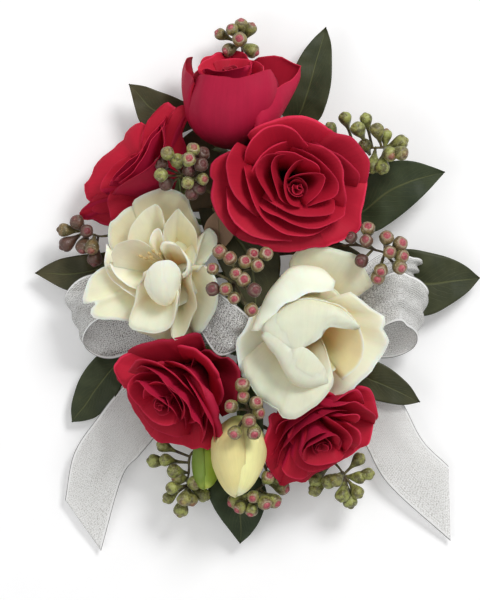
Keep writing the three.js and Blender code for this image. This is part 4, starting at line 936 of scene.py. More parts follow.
# The freesias' traced petals
FREESIA_RIGHT = [
    petal("wide", (28, 32, 33, 29, 29), [(292, 275), (289, 267.1), (291.4, 258.9), (299.6, 250.6),
        (310.2, 246.5), (322, 247), (336.2, 250.6), (353.9, 255.3), (362.2, 267.1), (368, 277.8),
        (372.8, 285.4), (357.4, 294.9)]),
    petal("wide", (33, 31, 28, 28, 27), [(350, 292), (362, 301), (371.6, 309.6), (384.6, 317.9),
        (382.2, 329.7), (388.1, 340.3), (383.4, 352), (376.3, 361.5), (369.2, 372.2),
        (357.4, 382.8), (348, 393.4), (332.7, 400.5), (319.7, 403.4)]),
    petal("wide", (35, 32, 29, 30), [(266, 303), (258.3, 309.6), (250, 319), (245.3, 329.7),
        (238.8, 338), (237, 346.2), (238.3, 358), (239.4, 363.9), (241.2, 375.1), (248, 378)]),
    petal("wide", (33, 34, 39, 41, 40), [(243, 360), (245.3, 373.3), (251.2, 385), (259.5, 397),
        (269, 404), (279.6, 410), (280.7, 415.8), (289, 418.2), (298.4, 417), (307.9, 410),
        (318.5, 402.8), (328, 392.2), (333.5, 382), (332, 372)]),
    petal("soft", (42, 44, 44, 42), [(262, 330), (274.8, 315.5), (277.2, 310.8), (284.3, 303.7),
        (293.7, 300.2), (303.2, 294.3), (312.6, 291.3), (322, 291.5), (333, 289.5)],
        via=[(252, 330), (261, 308), (267.8, 293), (277.2, 281.3), (286.6, 270.7), (296, 266.5),
        (310.2, 266), (323.2, 269.5), (333.4, 281)], via_height=(37, 40, 40, 38)),
    petal("soft", (40, 42, 43, 42, 38), [(266, 338), (270, 325), (276, 315.5), (279.6, 308.4),
        (289, 302.5), (300.8, 299), (312.6, 299), (330.3, 302.5), (343.3, 307.3), (355, 320.2),
        (361, 332), (363.3, 346.2), (361, 360.4), (355, 369.8), (342, 380)], tint=-0.7),
    petal("soft", (34, 33, 32), [(318, 366), (326, 372), (335, 369.5), (343.3, 360.4), (348, 350)],
        tint=-0.8),
    petal("soft", (44, 45, 44, 43), [(262, 331), (265.4, 333.2), (283, 342.7), (296, 349.7),
        (305.5, 346.2), (319.7, 338), (328.5, 327.3), (342, 328), (356, 330)], via=[(268, 321),
        (272, 316), (282, 308.5), (294, 303), (306, 301.5), (320, 302.5), (334, 306), (346, 312.5),
        (358, 325)], via_height=(41, 43, 43, 42)),
    petal("soft", (44, 46, 45, 42), [(263, 333), (266.6, 332), (279.6, 340.3), (292.5, 349.7),
        (302, 348), (310.2, 352), (319.7, 361.5), (325.6, 371), (327, 378)], via=[(264, 337),
        (269, 347), (277.2, 358), (283, 369.6), (289, 379), (296, 385), (306.7, 387.9),
        (317.3, 385.5), (327, 380)], via_height=(40, 41, 41, 38)),
]

FREESIA_LEFT = [
    # The tints of the back petals paint them toward tan: painted shade
    petal("wide", (28, 27, 27, 28), [(118, 262), (103.3, 267.4), (95.9, 272.6), (89.6, 280),
        (86.4, 290.5), (83.3, 299), (85.4, 303.2), (98, 301.5), (92, 309.5), (92.7, 315.8),
        (99, 317.9), (112.7, 319), (123.3, 320), (132, 321)], tint=0.3),
    petal("wide", (24, 24, 23), [(133, 322), (137, 329.5), (146.4, 333.7), (155.9, 337.9),
        (166.4, 341.6), (178, 340.5), (191.7, 336.8), (199, 330.5)], tint=0.5),
    petal("wide", (31, 32, 30), [(196, 272), (204.3, 265.3), (215, 280), (217, 295.8),
        (213.8, 311.6), (204.3, 327.4), (196, 336)], tint=0.25),
    petal("wide", (30, 31, 30), [(193, 268), (198, 248.4), (200, 242), (206.4, 229), (214.8, 234.7),
        (214.8, 247.4), (208.5, 257.9), (203, 266)]),
    petal("wide", (29, 31, 31, 29, 26), [(134, 215), (132.7, 206.3), (134.8, 201), (145.4, 194.7),
        (158, 190.5), (165.4, 189.5), (175.9, 192.1), (187.5, 199.5), (189.6, 207.4),
        (195.9, 222.1), (200.6, 232.6), (198, 250)], tint=0.62),
    petal("wide", (29, 28, 27), [(140, 206), (132.7, 206.3), (123.3, 211.6), (115.9, 220),
        (110.6, 224.2), (109.1, 234.7), (110.6, 245.3), (116, 256)], tint=0.6),
    petal("soft", (29, 28, 29, 33), [(106, 244), (106.4, 251.6), (104.8, 262.1), (107.5, 272.6),
        (113.8, 281), (120, 286.3), (128.5, 292.6), (138, 299)]),
    petal("soft", (32, 35, 35, 37), [(127, 247), (127.5, 240), (129.6, 230.5), (134.8, 221),
        (143.3, 211.6), (151.7, 206.3), (157, 204.7), (162, 212), (164, 228)]),
    petal("soft", (38, 37, 35, 33, 32), [(164, 248), (163.8, 241), (163.3, 232.6), (165.4, 224.2),
        (170.6, 216.8), (175.9, 210.5), (178.5, 209.5), (182.2, 213.7), (189.6, 222.1),
        (194.8, 229.5), (196.9, 239), (196.9, 256)]),
    petal("soft", (34, 38, 40, 38), [(114, 268), (112.7, 259), (111.7, 253.7), (115.5, 246),
        (120, 243), (129.6, 240), (138, 240), (145.4, 243.2), (151.7, 248.4), (154.8, 252)]),
    petal("soft", (35, 32, 31, 35), [(110, 262), (113, 270), (119, 278), (128, 285), (139, 290)]),
    petal("wide", (40, 35, 32, 33, 36, 40), [(144, 272), (142.2, 280), (138, 286.3), (135.4, 301),
        (130.6, 314.7), (129.6, 323.2), (133.8, 328.4), (146.4, 331.6), (158, 331.6),
        (168.5, 327.4), (173.8, 320), (176, 310), (179, 293.7)]),
    petal("soft", (41, 39, 34, 32, 34, 40), [(181.7, 274.7), (187.5, 264), (191.7, 269.5),
        (190.6, 280), (194.8, 293.7), (197, 306.3), (191.7, 317.9), (186.4, 331.6), (179, 339),
        (171.7, 337.9), (171.7, 327.4), (177, 311.6), (180, 293.7), (180, 284)]),
    petal("soft", (39, 40, 40), [(149, 244), (151, 236), (155, 230), (159.5, 229), (162, 234),
        (164, 242)]),
    petal("soft", (41, 43, 44, 42), [(160, 247), (163, 242.4), (169.6, 242.1), (177, 245.3),
        (183.3, 253.7), (187, 262.1), (186.4, 270.5), (182, 274)], via=[(163, 254), (168, 249),
        (174, 249), (181, 252), (188, 259), (191, 266), (189, 274), (183, 278)],
        via_height=(38, 40, 40, 38)),
    petal("soft", (42, 45, 42), [(145.4, 277.9), (147.5, 270.5), (153.8, 264.2), (162.2, 260.5),
        (170.6, 261), (178, 267.4), (181.2, 274)], via=[(146, 287), (150, 296), (157, 302),
        (166, 303), (174, 298), (179, 290), (181, 281)], via_height=(34, 38, 34)),
]

# tips: where each stamen ends, as a pixel and a height
FREESIAS = {
    "freesia_right": dict(
        seat=(0.22, -0.1, 0.18), axis=(0.08, -0.2, 0.97), root=-0.05, petals=FREESIA_RIGHT,
        arcs=[("wide", 10, 110, 16, range(0, 360, 90))],
        tips=[((304, 334), 31), ((311, 331), 30), ((299, 329), 32), ((315, 337), 30)],
    ),
    "freesia_left": dict(
        seat=(-0.31, 0.07, 0.16), axis=(-0.16, 0.06, 0.98), root=0.06, petals=FREESIA_LEFT,
        arcs=[("wide", 9, 110, 14, range(20, 380, 90))],
        tips=[((142, 257), 35), ((147, 259), 36), ((150, 254), 38), ((154, 252), 38),
              ((160, 255), 39), ((152, 258), 37)],
    ),
}


def stamen_material(name, pale, dark):
    def paint(tree, shader):
        dust = grain(tree, 1800, 3)
        dress(tree, shader, mix(dust, dark, pale), dust, 0.4, 0.2 * MM)

    return material_of(name, paint, roughness=0.6)


class CORSAGE_OT_freesias(bpy.types.Operator):
    """Two cream double freesias: their petals and their stamens"""

    bl_idname = "corsage.freesias"
    bl_label = "Freesias"

    def execute(self, context):
        for number, (name, spec) in enumerate(FREESIAS.items()):
            bloom = Bloom(spec["seat"], spec["axis"])
            made = bloom_piece(f"{name}_bloom", bloom, spec["petals"], spec["arcs"],
                               sizes().freesia_petal, freesia_material(), 700 + 100 * number,
                               columns=24, rows=16)
            settle(made, "freesia_petal", f"{name}_petals")
            self.stamens(name, bloom, spec["tips"])
        return {"FINISHED"}

    def stamens(self, name, bloom, tips):
        """Threads from the bloom's seat, each with a long anther at its tip"""
        swell = [0.12, 0.42, 0.6, 0.62, 0.55, 0.38, 0.1]
        shell = Shell()
        for k, ((px, py), height) in enumerate(tips):
            tip = spot(px, py, height)
            foot = bloom.seat + bloom.axis * 4 * MM + (tip - bloom.seat) * 0.05
            sway = Vector((wave(tip, 3 * MM, k), wave(tip, 3 * MM, k + 4), 1)) * MM
            path = smooth_path([foot, foot.lerp(tip, 0.5) + sway, tip], 14)
            shell.rings(tube_rings(path, lambda t: (0.42 - 0.14 * t) * MM, sides=8))
            ahead = (path[-1] - path[-3]).normalized()
            anther = [path[-1] + ahead * (step - 1.5) * 0.5 * MM for step in range(len(swell))]
            shell.rings(tube_rings(anther, lambda t: between(swell, t) * MM, sides=10), slot=1)
        made = shell.piece(f"{name}_filaments", [
            stamen_material("filament", (0.84, 0.76, 0.48, 1), (0.66, 0.54, 0.26, 1)),
            stamen_material("anther", (0.82, 0.66, 0.34, 1), (0.5, 0.32, 0.1, 1)),
        ])
        settle(made, "stamen", f"{name}_stamens")


# The buds. root: where the stem meets the spine; length and radius in millimetres; blunt: the
# profile's power, lower for a fuller tip; sweeps: where each wrapped petal starts and how far it
# runs in degrees. BUD_TINTS: how far each wrapped petal goes to the tan colour
BUDS = {
    "bud_cream": dict(
        seat=(-0.035, -0.52, 0.2), axis=(-0.06, -0.93, 0.36), root=-0.44, length=33, radius=10.9,
        blunt=0.74, sweeps=((150, 215), (-60, 205), (35, 190)), seed=31,
        colours={"Deep": (0.5, 0.55, 0.16, 1), "Body": (0.9, 0.85, 0.36, 1),
                 "Back": (0.92, 0.87, 0.4, 1), "Rim": (0.9, 0.88, 0.58, 1),
                 "Tan": (0.84, 0.7, 0.3, 1)},
    ),
    "bud_green": dict(
        seat=(-0.16, -0.59, 0.13), axis=(-0.1, -0.94, 0.32), root=-0.53, length=22, radius=6.1,
        blunt=0.5, sweeps=((120, 220), (-40, 200)), seed=37,
        colours={"Deep": (0.16, 0.24, 0.03, 1), "Body": (0.27, 0.39, 0.035, 1),
                 "Back": (0.28, 0.4, 0.035, 1), "Rim": (0.5, 0.6, 0.1, 1),
                 "Tan": (0.16, 0.25, 0.03, 1)},
    ),
}
BUD_PROFILE = (0.3, 0.62, 0.86, 0.97, 1.0, 0.96, 0.86, 0.72, 0.56, 0.38, 0.16)
BUD_TINTS = (0.75, 0.05, 0.3)


def bud_material(name):
    values = {"Deep from": 0.0, "Deep to": 0.35, "Rim from": 0.9, "Veins": 0.22}
    return petal_material(name.replace("_", " "), BUDS[name]["colours"] | values,
                          roughness=0.45, bump=0.2, Specular_IOR_Level=0.4,
                          Subsurface_Weight=0.1, Subsurface_Scale=2 * MM)


class CORSAGE_OT_buds(bpy.types.Operator):
    """Two closed buds of petals wrapped over each other, on their short stems"""

    bl_idname = "corsage.buds"
    bl_label = "Buds"

    def execute(self, context):
        for name, spec in BUDS.items():
            bloom = Bloom(spec["seat"], spec["axis"])
            shell = Shell()
            for k in range(len(spec["sweeps"])):
                self.wrap(shell, bloom, spec, k)
            foot = bloom.seat + bloom.axis * 2 * MM
            stem_rings(shell, foot, bloom.axis, spec["root"], seed=spec["seed"])
            made = shell.piece(f"{name}_wrapped", [bud_material(name), stem_material()])
            settle(made, name, name)
        return {"FINISHED"}

    def wrap(self, shell, bloom, spec, k):
        """A petal wound round the bud. Each lies further in and ends a little lower."""
        start, sweep = spec["sweeps"][k]
        layer = 0.93 + 0.035 * (len(spec["sweeps"]) - k)
        steps = 30
        grid, outs = [], []
        for j in range(steps + 1):
            t = j / steps
            girth = between(BUD_PROFILE, t) ** spec["blunt"] * spec["radius"] * layer
            shut = math.sqrt(1.004 - t ** 14)  # draws the tip together
            row = []
            for i in range(steps + 1):
                u = i / steps
                edge = abs(2 * u - 1)
                way = bloom.toward(start + sweep * u + 26 * t * t)
                short = 1 - 0.07 * edge ** 4 - 0.02 * k
                reach = girth * ((1 + 0.05 * (edge ** 6) * math.sin(math.pi * t)) * shut)
                place = bloom.seat + bloom.axis * t * short * spec["length"] * MM + way * reach * MM
                row.append(place + way * wave(place, 6 * MM, spec["seed"] + k) * 0.3 * MM)
                if j == steps // 2:
                    outs.append(way)
            grid.append(row)
        shell.sheet(grid, 0.45 * MM, outs, tone=0.3 + 0.3 * k, tint=BUD_TINTS[k])


# Stems, hips and the spine

def stem_rings(shell, foot, axis, root, seed=0):
    """A taped wire stem from its foot into the spine, in its piece's second material"""
    end = share((0, root, STEM_Z))
    bend = foot - axis * (foot - end).length * 0.25
    bend.z = max(bend.z, 4.2 * MM)
    path = [foot, foot.lerp(bend, 0.8).lerp(end, 0.08), bend.lerp(end, 0.35), end]
    rings = tube_rings(smooth_path(path, 40),
                       lambda t: (1.25 + 0.14 * math.sin(t * 70 + seed)) * MM, sides=12)
    shell.rings(rings, slot=1)


@painted("stem tape", roughness=0.75)
def stem_material(tree, shader):
    """Stretched floral tape: dark green with pale creases"""
    crease, patch = grain(tree, 900, 4), grain(tree, 160, 3)
    colour = mix(patch, (0.035, 0.062, 0.016, 1), (0.085, 0.125, 0.04, 1))
    colour = mix(crease.spread(0.55, 0.8, 0, 0.5), colour, (0.15, 0.19, 0.09, 1))
    dress(tree, shader, colour, crease + patch, 0.5, 0.3 * MM)


@painted("green hip", roughness=0.5)
def hip_material(tree, shader):
    patch, fleck = grain(tree, 260, 4), grain(tree, 1500, 2)
    colour = mix(patch, (0.06, 0.1, 0.02, 1), (0.16, 0.22, 0.06, 1))
    colour = mix(fleck.spread(0.6, 0.75, 0, 0.4), colour, (0.24, 0.2, 0.08, 1))
    dress(tree, shader, colour, fleck, 0.25, 0.2 * MM)


# A hip's size in millimetres, and its (radius, height) pairs from its foot to its rim as shares
HIP = dict(radius=5.6, length=9)
HIP_PROFILE = ((0.3, -1), (0.5, -0.95), (0.72, -0.82), (0.9, -0.62), (1, -0.35), (0.95, -0.15),
               (0.72, -0.03), (0.3, 0))


class CORSAGE_OT_stems(bpy.types.Operator):
    """The taped spine, and each bloom's hip with its sepals on a taped wire stem"""

    bl_idname = "corsage.stems"
    bl_label = "Stems and spine"

    def execute(self, context):
        for name, spec in {**ROSES, **FREESIAS}.items():
            bloom = Bloom(spec["seat"], spec["axis"])
            shell = Shell()
            top = bloom.seat - bloom.axis * 0.3 * MM
            shell.rings(turned_rings(HIP_PROFILE, top, bloom.axis, 20,
                                     HIP["length"] * MM, HIP["radius"] * MM, lobes=5, depth=0.035))
            for k in range(5):
                self.sepal(shell, bloom, k)
            foot = bloom.seat - bloom.axis * (HIP["length"] - 1) * MM
            stem_rings(shell, foot, bloom.axis, spec["root"])
            made = shell.piece(f"{name}_hip", [hip_material(), stem_material()])
            settle(made, "calyx", f"{name}_stem")
        self.spine()
        return {"FINISHED"}

    def sepal(self, shell, bloom, k):
        """A pointed sepal that lies against the cup and turns out at its tip"""
        rows, half, spread = 8, 3, 30
        grid, outs = [], []
        for j in range(rows + 1):
            t = j / rows
            rise = bloom.axis * (-1.6 + 7 * t - 3.4 * t * t) * MM
            reach = 4.4 + 5.2 * t + 1.6 * t * t
            row = []
            for i in range(2 * half + 1):
                way = bloom.toward(72 * k + 20 + (i / half - 1) * spread * (1 - t) ** 0.8)
                row.append(bloom.seat + way * reach * MM + rise)
                if j == rows // 2:
                    outs.append(way)
            grid.append(row)
        shell.sheet(grid, 0.35 * MM, outs, tone=0.2 * k)

    def spine(self):
        """The flat-backed bundle of stems, wound with tape that overlaps down its length"""
        low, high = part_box("stem_spine")
        half = (high[0] - low[0]) / 2
        depth = (high[2] - low[2]) / 2
        steps, sides, laps = 150, 28, 15
        rings = []
        for k in range(steps + 1):
            t = k / steps
            y = low[1] + (high[1] - low[1]) * t
            shut = min(1, 0.7 + 9 * min(t, 1 - t))
            ring = []
            for i in range(sides):
                angle = 2 * math.pi * i / sides
                swell = 0.965 + 0.035 * ((t * laps + i / sides) % 1)
                x, z = (math.copysign(abs(part) ** 0.7, part) * size * swell * shut
                        for part, size in ((math.cos(angle), half), (math.sin(angle), depth)))
                ring.append(Vector((x, y, max(low[2] + depth + z, 0.15 * MM))))
            rings.append(ring)
        shell = Shell()
        shell.rings(rings)
        settle(shell.piece("taped_spine", [stem_material()]), "stem_tape", "stem_spine")


# Seeded eucalyptus. root: where the twig leaves the spine; route and pods: the twig's and the pods'
# places as shares of the reach; facing: how far the pods turn to the front; pink and brown: their
# colours; dark: the numbers of the pods that lie in the shade, painted near-black as painted shade
SPRIGS = {
    "sprig_centre": dict(
        root=0.1, facing=0.72, pink=0.9, brown=0.55, dark=(9, 12),
        route=[(0, 0.12, 0.24), (0, 0.115, 0.38), (-0.03, 0.08, 0.46), (-0.06, 0.03, 0.48)],
        pods=[(-0.12, 0.152, 0.48), (-0.08, 0.126, 0.49), (-0.148, 0.084, 0.48),
            (0.012, 0.14, 0.46), (-0.02, 0.112, 0.49), (0.028, 0.098, 0.5), (0.064, 0.144, 0.48),
            (-0.056, 0.064, 0.51), (-0.028, 0.042, 0.51), (-0.148, 0.004, 0.48),
            (-0.096, 0.004, 0.5), (-0.064, -0.032, 0.5), (0.016, 0, 0.52), (0.004, -0.078, 0.5)],
    ),
    "sprig_upper_centre": dict(
        root=0.34, facing=0.5, pink=0.25, brown=0.1, dark=(3, 4, 8, 9, 11, 12, 13),
        route=[(-0.1, 0.36, 0.2), (-0.24, 0.44, 0.33), (-0.27, 0.46, 0.36)],
        pods=[(-0.33, 0.546, 0.44), (-0.228, 0.562, 0.45), (-0.246, 0.521, 0.48),
            (-0.19, 0.545, 0.41), (-0.196, 0.501, 0.43), (-0.355, 0.46, 0.45),
            (-0.25, 0.429, 0.46), (-0.19, 0.444, 0.42), (-0.355, 0.505, 0.4),
            (-0.243, 0.477, 0.39), (-0.289, 0.516, 0.4), (-0.232, 0.388, 0.36),
            (-0.205, 0.41, 0.37), (-0.336, 0.424, 0.37)],
    ),
    "sprig_lower_centre": dict(
        root=-0.38, facing=0.5, pink=0.8, brown=0.4, route=[(-0.01, -0.4, 0.2),
            (-0.02, -0.45, 0.31), (0, -0.48, 0.35)],
        pods=[(-0.03, -0.382, 0.37), (-0.026, -0.43, 0.38), (-0.074, -0.466, 0.39),
            (0.024, -0.452, 0.39), (-0.004, -0.522, 0.42), (-0.06, -0.57, 0.41),
            (0.015, -0.57, 0.41), (0.034, -0.492, 0.37)],
    ),
    "sprig_right_upper": dict(
        root=0.36, facing=0.12, pink=0.1, brown=0.1,
        route=[(0.2, 0.46, 0.09), (0.36, 0.56, 0.16), (0.484, 0.568, 0.22), (0.54, 0.57, 0.24)],
        pods=[(0.322, 0.648, 0.18), (0.38, 0.688, 0.24), (0.464, 0.684, 0.24),
            (0.432, 0.644, 0.28), (0.508, 0.64, 0.28), (0.544, 0.62, 0.23), (0.604, 0.592, 0.24),
            (0.604, 0.548, 0.29), (0.56, 0.544, 0.28), (0.46, 0.58, 0.22), (0.528, 0.492, 0.26),
            (0.492, 0.496, 0.24)],
    ),
    "sprig_right": dict(
        root=0.14, facing=0.5, pink=0.7, brown=0.7, dark=(9, 10),
        route=[(0.2, 0.15, 0.16), (0.4, 0.18, 0.26), (0.5, 0.16, 0.32), (0.54, 0.15, 0.33)],
        pods=[(0.472, 0.244, 0.35), (0.466, 0.196, 0.38), (0.546, 0.208, 0.38), (0.6, 0.184, 0.37),
            (0.558, 0.152, 0.4), (0.606, 0.136, 0.37), (0.598, 0.092, 0.38), (0.524, 0.08, 0.39),
            (0.512, 0.052, 0.37), (0.404, 0.21, 0.33), (0.447, 0.118, 0.35)],
    ),
    "sprig_left": dict(
        root=0.16, facing=0.08, pink=0.3, brown=0.95,
        route=[(-0.3, 0.2, 0.1), (-0.52, 0.22, 0.13), (-0.6, 0.215, 0.14), (-0.66, 0.235, 0.14)],
        pods=[(-0.692, 0.272, 0.17), (-0.744, 0.24, 0.14), (-0.735, 0.183, 0.14),
            (-0.654, 0.236, 0.18), (-0.668, 0.173, 0.17), (-0.633, 0.171, 0.19),
            (-0.621, 0.124, 0.16)],
    ),
    "sprig_top": dict(
        root=0.455, facing=0.2, pink=0.45, brown=0.45,
        route=[(0.03, 0.6, 0.06), (0, 0.8, 0.06), (-0.03, 0.95, 0.07), (-0.03, 0.985, 0.13)],
        pods=[(-0.118, 1.023, 0.14), (-0.071, 1.041, 0.18), (-0.035, 1.061, 0.15),
            (0.002, 1.046, 0.14), (-0.041, 1.002, 0.2), (-0.085, 0.961, 0.16),
            (0.008, 0.957, 0.12)],
    ),
    "sprig_bottom_left": dict(
        root=-0.57, facing=0.1, pink=0.05, brown=0.1,
        route=[(-0.12, -0.62, 0.09), (-0.23, -0.65, 0.12), (-0.245, -0.73, 0.13),
            (-0.25, -0.78, 0.13)],
        pods=[(-0.384, -0.684, 0.13), (-0.348, -0.624, 0.12), (-0.338, -0.68, 0.16),
            (-0.304, -0.724, 0.17), (-0.288, -0.752, 0.15), (-0.326, -0.832, 0.13),
            (-0.312, -0.792, 0.18), (-0.264, -0.836, 0.18), (-0.276, -0.88, 0.13),
            (-0.234, -0.84, 0.15), (-0.188, -0.82, 0.13), (-0.224, -0.772, 0.17)],
    ),
    "sprig_bottom": dict(
        root=-0.59, facing=0.25, pink=0.75, brown=0.1,
        route=[(0.04, -0.66, 0.07), (0.07, -0.74, 0.12), (0.05, -0.78, 0.15), (0.03, -0.8, 0.16)],
        pods=[(0.072, -0.75, 0.2), (0.112, -0.756, 0.16), (0.13, -0.792, 0.15),
            (0.096, -0.844, 0.18), (0.014, -0.827, 0.2), (0.006, -0.88, 0.17),
            (-0.041, -0.87, 0.18), (-0.061, -0.846, 0.15), (0.059, -0.85, 0.2)],
    ),
    "sprig_bottom_right": dict(
        root=-0.52, facing=0.05, pink=0, brown=0.05,
        route=[(0.16, -0.6, 0.07), (0.32, -0.68, 0.1), (0.37, -0.73, 0.12), (0.38, -0.745, 0.12)],
        pods=[(0.436, -0.676, 0.14), (0.472, -0.736, 0.13), (0.438, -0.75, 0.12),
            (0.43, -0.81, 0.14), (0.316, -0.766, 0.15), (0.26, -0.8, 0.12), (0.344, -0.76, 0.17),
            (0.368, -0.822, 0.15), (0.4, -0.845, 0.12), (0.262, -0.76, 0.13)],
    ),
}
POD_PROFILE = ((0.25, 0), (0.29, 0.1), (0.4, 0.21), (0.58, 0.33), (0.78, 0.46), (0.93, 0.58),
               (1.0, 0.69), (0.97, 0.79), (0.85, 0.87), (0.68, 0.92), (0.58, 0.935), (0.5, 0.925),
               (0.44, 0.955), (0.32, 1.0), (0.16, 1.03), (0.04, 1.04))
POD_MIDDLE = 0.68  # how far up a pod its traced place lies


@painted("seed pod", roughness=0.42, Specular_IOR_Level=0.5,
         Sheen_Weight=0.25, Sheen_Roughness=0.35)
def pod_material(tree, shader):
    """Olive pods, freckled and flecked, with a cap inside a pale ring"""
    c = colours()
    along, blush, brown = values_of(tree, "along", "blush", "brown")
    patch, fleck = grain(tree, 420, 4), grain(tree, 1500, 3)
    ring = along.spread(0.54, 0.6) * along.spread(0.72, 0.68)
    shown = patch.spread(0.35, 0.6) * (blush + 0.2)
    cap_red = mix(patch.spread(0.35, 0.65), c.seed_cap, (0.46, 0.1, 0.12, 1))
    colour = coated(
        c.seed,
        (brown, (0.17, 0.07, 0.04, 1)),
        (along.spread(0.45, 0.1, 0, 0.55), (0.13, 0.13, 0.035, 1)),
        (patch.spread(0.38, 0.62, 0, 0.85), (0.07, 0.06, 0.018, 1)),
        (along.spread(0.42, 0.62) * blush * 0.6, (0.2, 0.055, 0.045, 1)),
        (ring * (shown * 0.7), (0.46, 0.36, 0.24, 1)),
        (along.spread(0.7, 0.76) * blush.spread(0.1, 0.5), cap_red),
        (along.spread(0.88, 0.98) * blush * 0.85, (0.24, 0.015, 0.04, 1)),
        (fleck.spread(0.6, 0.7, 0, 0.55), (0.55, 0.54, 0.32, 1)),
        (fleck.spread(0.4, 0.3, 0, 0.75), (0.03, 0.022, 0.008, 1)),
        # Pods with brown near 1 go near-black: painted shade on the shaded pods, and the ripest
        # pods' own dark brown
        (brown.spread(0.9, 1.0, 0, 0.72), (0.07, 0.022, 0.02, 1)),
    )
    dress(tree, shader, colour, fleck + patch, 0.55, 0.3 * MM)


@painted("twig bark", roughness=0.6)
def twig_material(tree, shader):
    patch = grain(tree, 380, 4)
    colour = mix(patch.spread(0.35, 0.7), (0.05, 0.03, 0.014, 1), (0.17, 0.15, 0.055, 1))
    dress(tree, shader, colour, patch, 0.5, 0.3 * MM)


def pod_shape():
    """One pod of unit length and unit width that stands on its foot, as a mesh of its own"""
    shell = Shell()
    shell.rings(turned_rings(POD_PROFILE, Vector(), Vector((0, 0, 1)), sides=14,
                             length=1, width=0.5, lobes=4, depth=0.04))
    return shell.piece("pod_shape", [])


def pod_nodes(shape):
    """Stands a pod on each point, turned to the point's aim, with its size and a turn of its own"""
    tree = bpy.data.node_groups.new("seed pods", "GeometryNodeTree")
    for label, kind in (("Points", "NodeSocketGeometry"), ("Pod width", NUMBER),
                        ("Pod length", NUMBER), ("Seed", "NodeSocketInt")):
        tree.interface.new_socket(label, in_out="INPUT", socket_type=kind)
    tree.interface.new_socket("Pods", in_out="OUTPUT", socket_type="NodeSocketGeometry")
    given = tree.nodes.new("NodeGroupInput").outputs
    aim, size = (
        node(tree, "GeometryNodeInputNamedAttribute", {"Name": name}, data_type=kind)
        for name, kind in (("aim", "FLOAT_VECTOR"), ("size", "FLOAT"))
    )
    align = node(tree, "FunctionNodeAlignRotationToVector", {"Vector": aim.outputs["Attribute"]},
                 axis="Z")
    turn = node(tree, "FunctionNodeRandomValue", {"Min": 0.0, "Max": 6.28, "Seed": given["Seed"]},
                data_type="FLOAT")
    angle = node(tree, "ShaderNodeCombineXYZ", {"Z": turn.outputs[1]})
    twist = node(tree, "FunctionNodeRotateRotation", {0: align.outputs[0], 1: angle.outputs[0]},
                 rotation_space="LOCAL")
    scale = node(tree, "ShaderNodeCombineXYZ", {
        "X": given["Pod width"], "Y": given["Pod width"], "Z": given["Pod length"]})
    sized = node(tree, "ShaderNodeVectorMath",
                 {0: scale.outputs[0], "Scale": size.outputs["Attribute"]}, operation="SCALE")
    source = node(tree, "GeometryNodeObjectInfo", {"Object": shape})
    points = node(tree, "GeometryNodeMeshToPoints", {"Mesh": given["Points"]})
    stand = node(tree, "GeometryNodeInstanceOnPoints", {
        "Points": points.outputs[0], "Instance": source.outputs["Geometry"],
        "Rotation": twist.outputs[0], "Scale": sized.outputs[0]})
    real = node(tree, "GeometryNodeRealizeInstances", {"Geometry": stand.outputs[0]})
    finish = node(tree, "GeometryNodeSetMaterial",
                  {"Geometry": real.outputs[0], "Material": pod_material()})
    node(tree, "NodeGroupOutput", {0: finish.outputs[0]})
    return tree


def settle_nodes(made, tree, values):
    """Runs a node tree on an object with its named inputs and keeps the result as a plain mesh"""
    modifier = made.modifiers.new(tree.name, "NODES")
    modifier.node_group = tree
    for item in tree.interface.items_tree:
        if item.item_type == "SOCKET" and item.name in values:
            modifier[item.identifier] = values[item.name]
    evaluated = made.evaluated_get(bpy.context.evaluated_depsgraph_get())
    mesh = bpy.data.meshes.new_from_object(evaluated)
    made.modifiers.remove(modifier)
    made.data = mesh


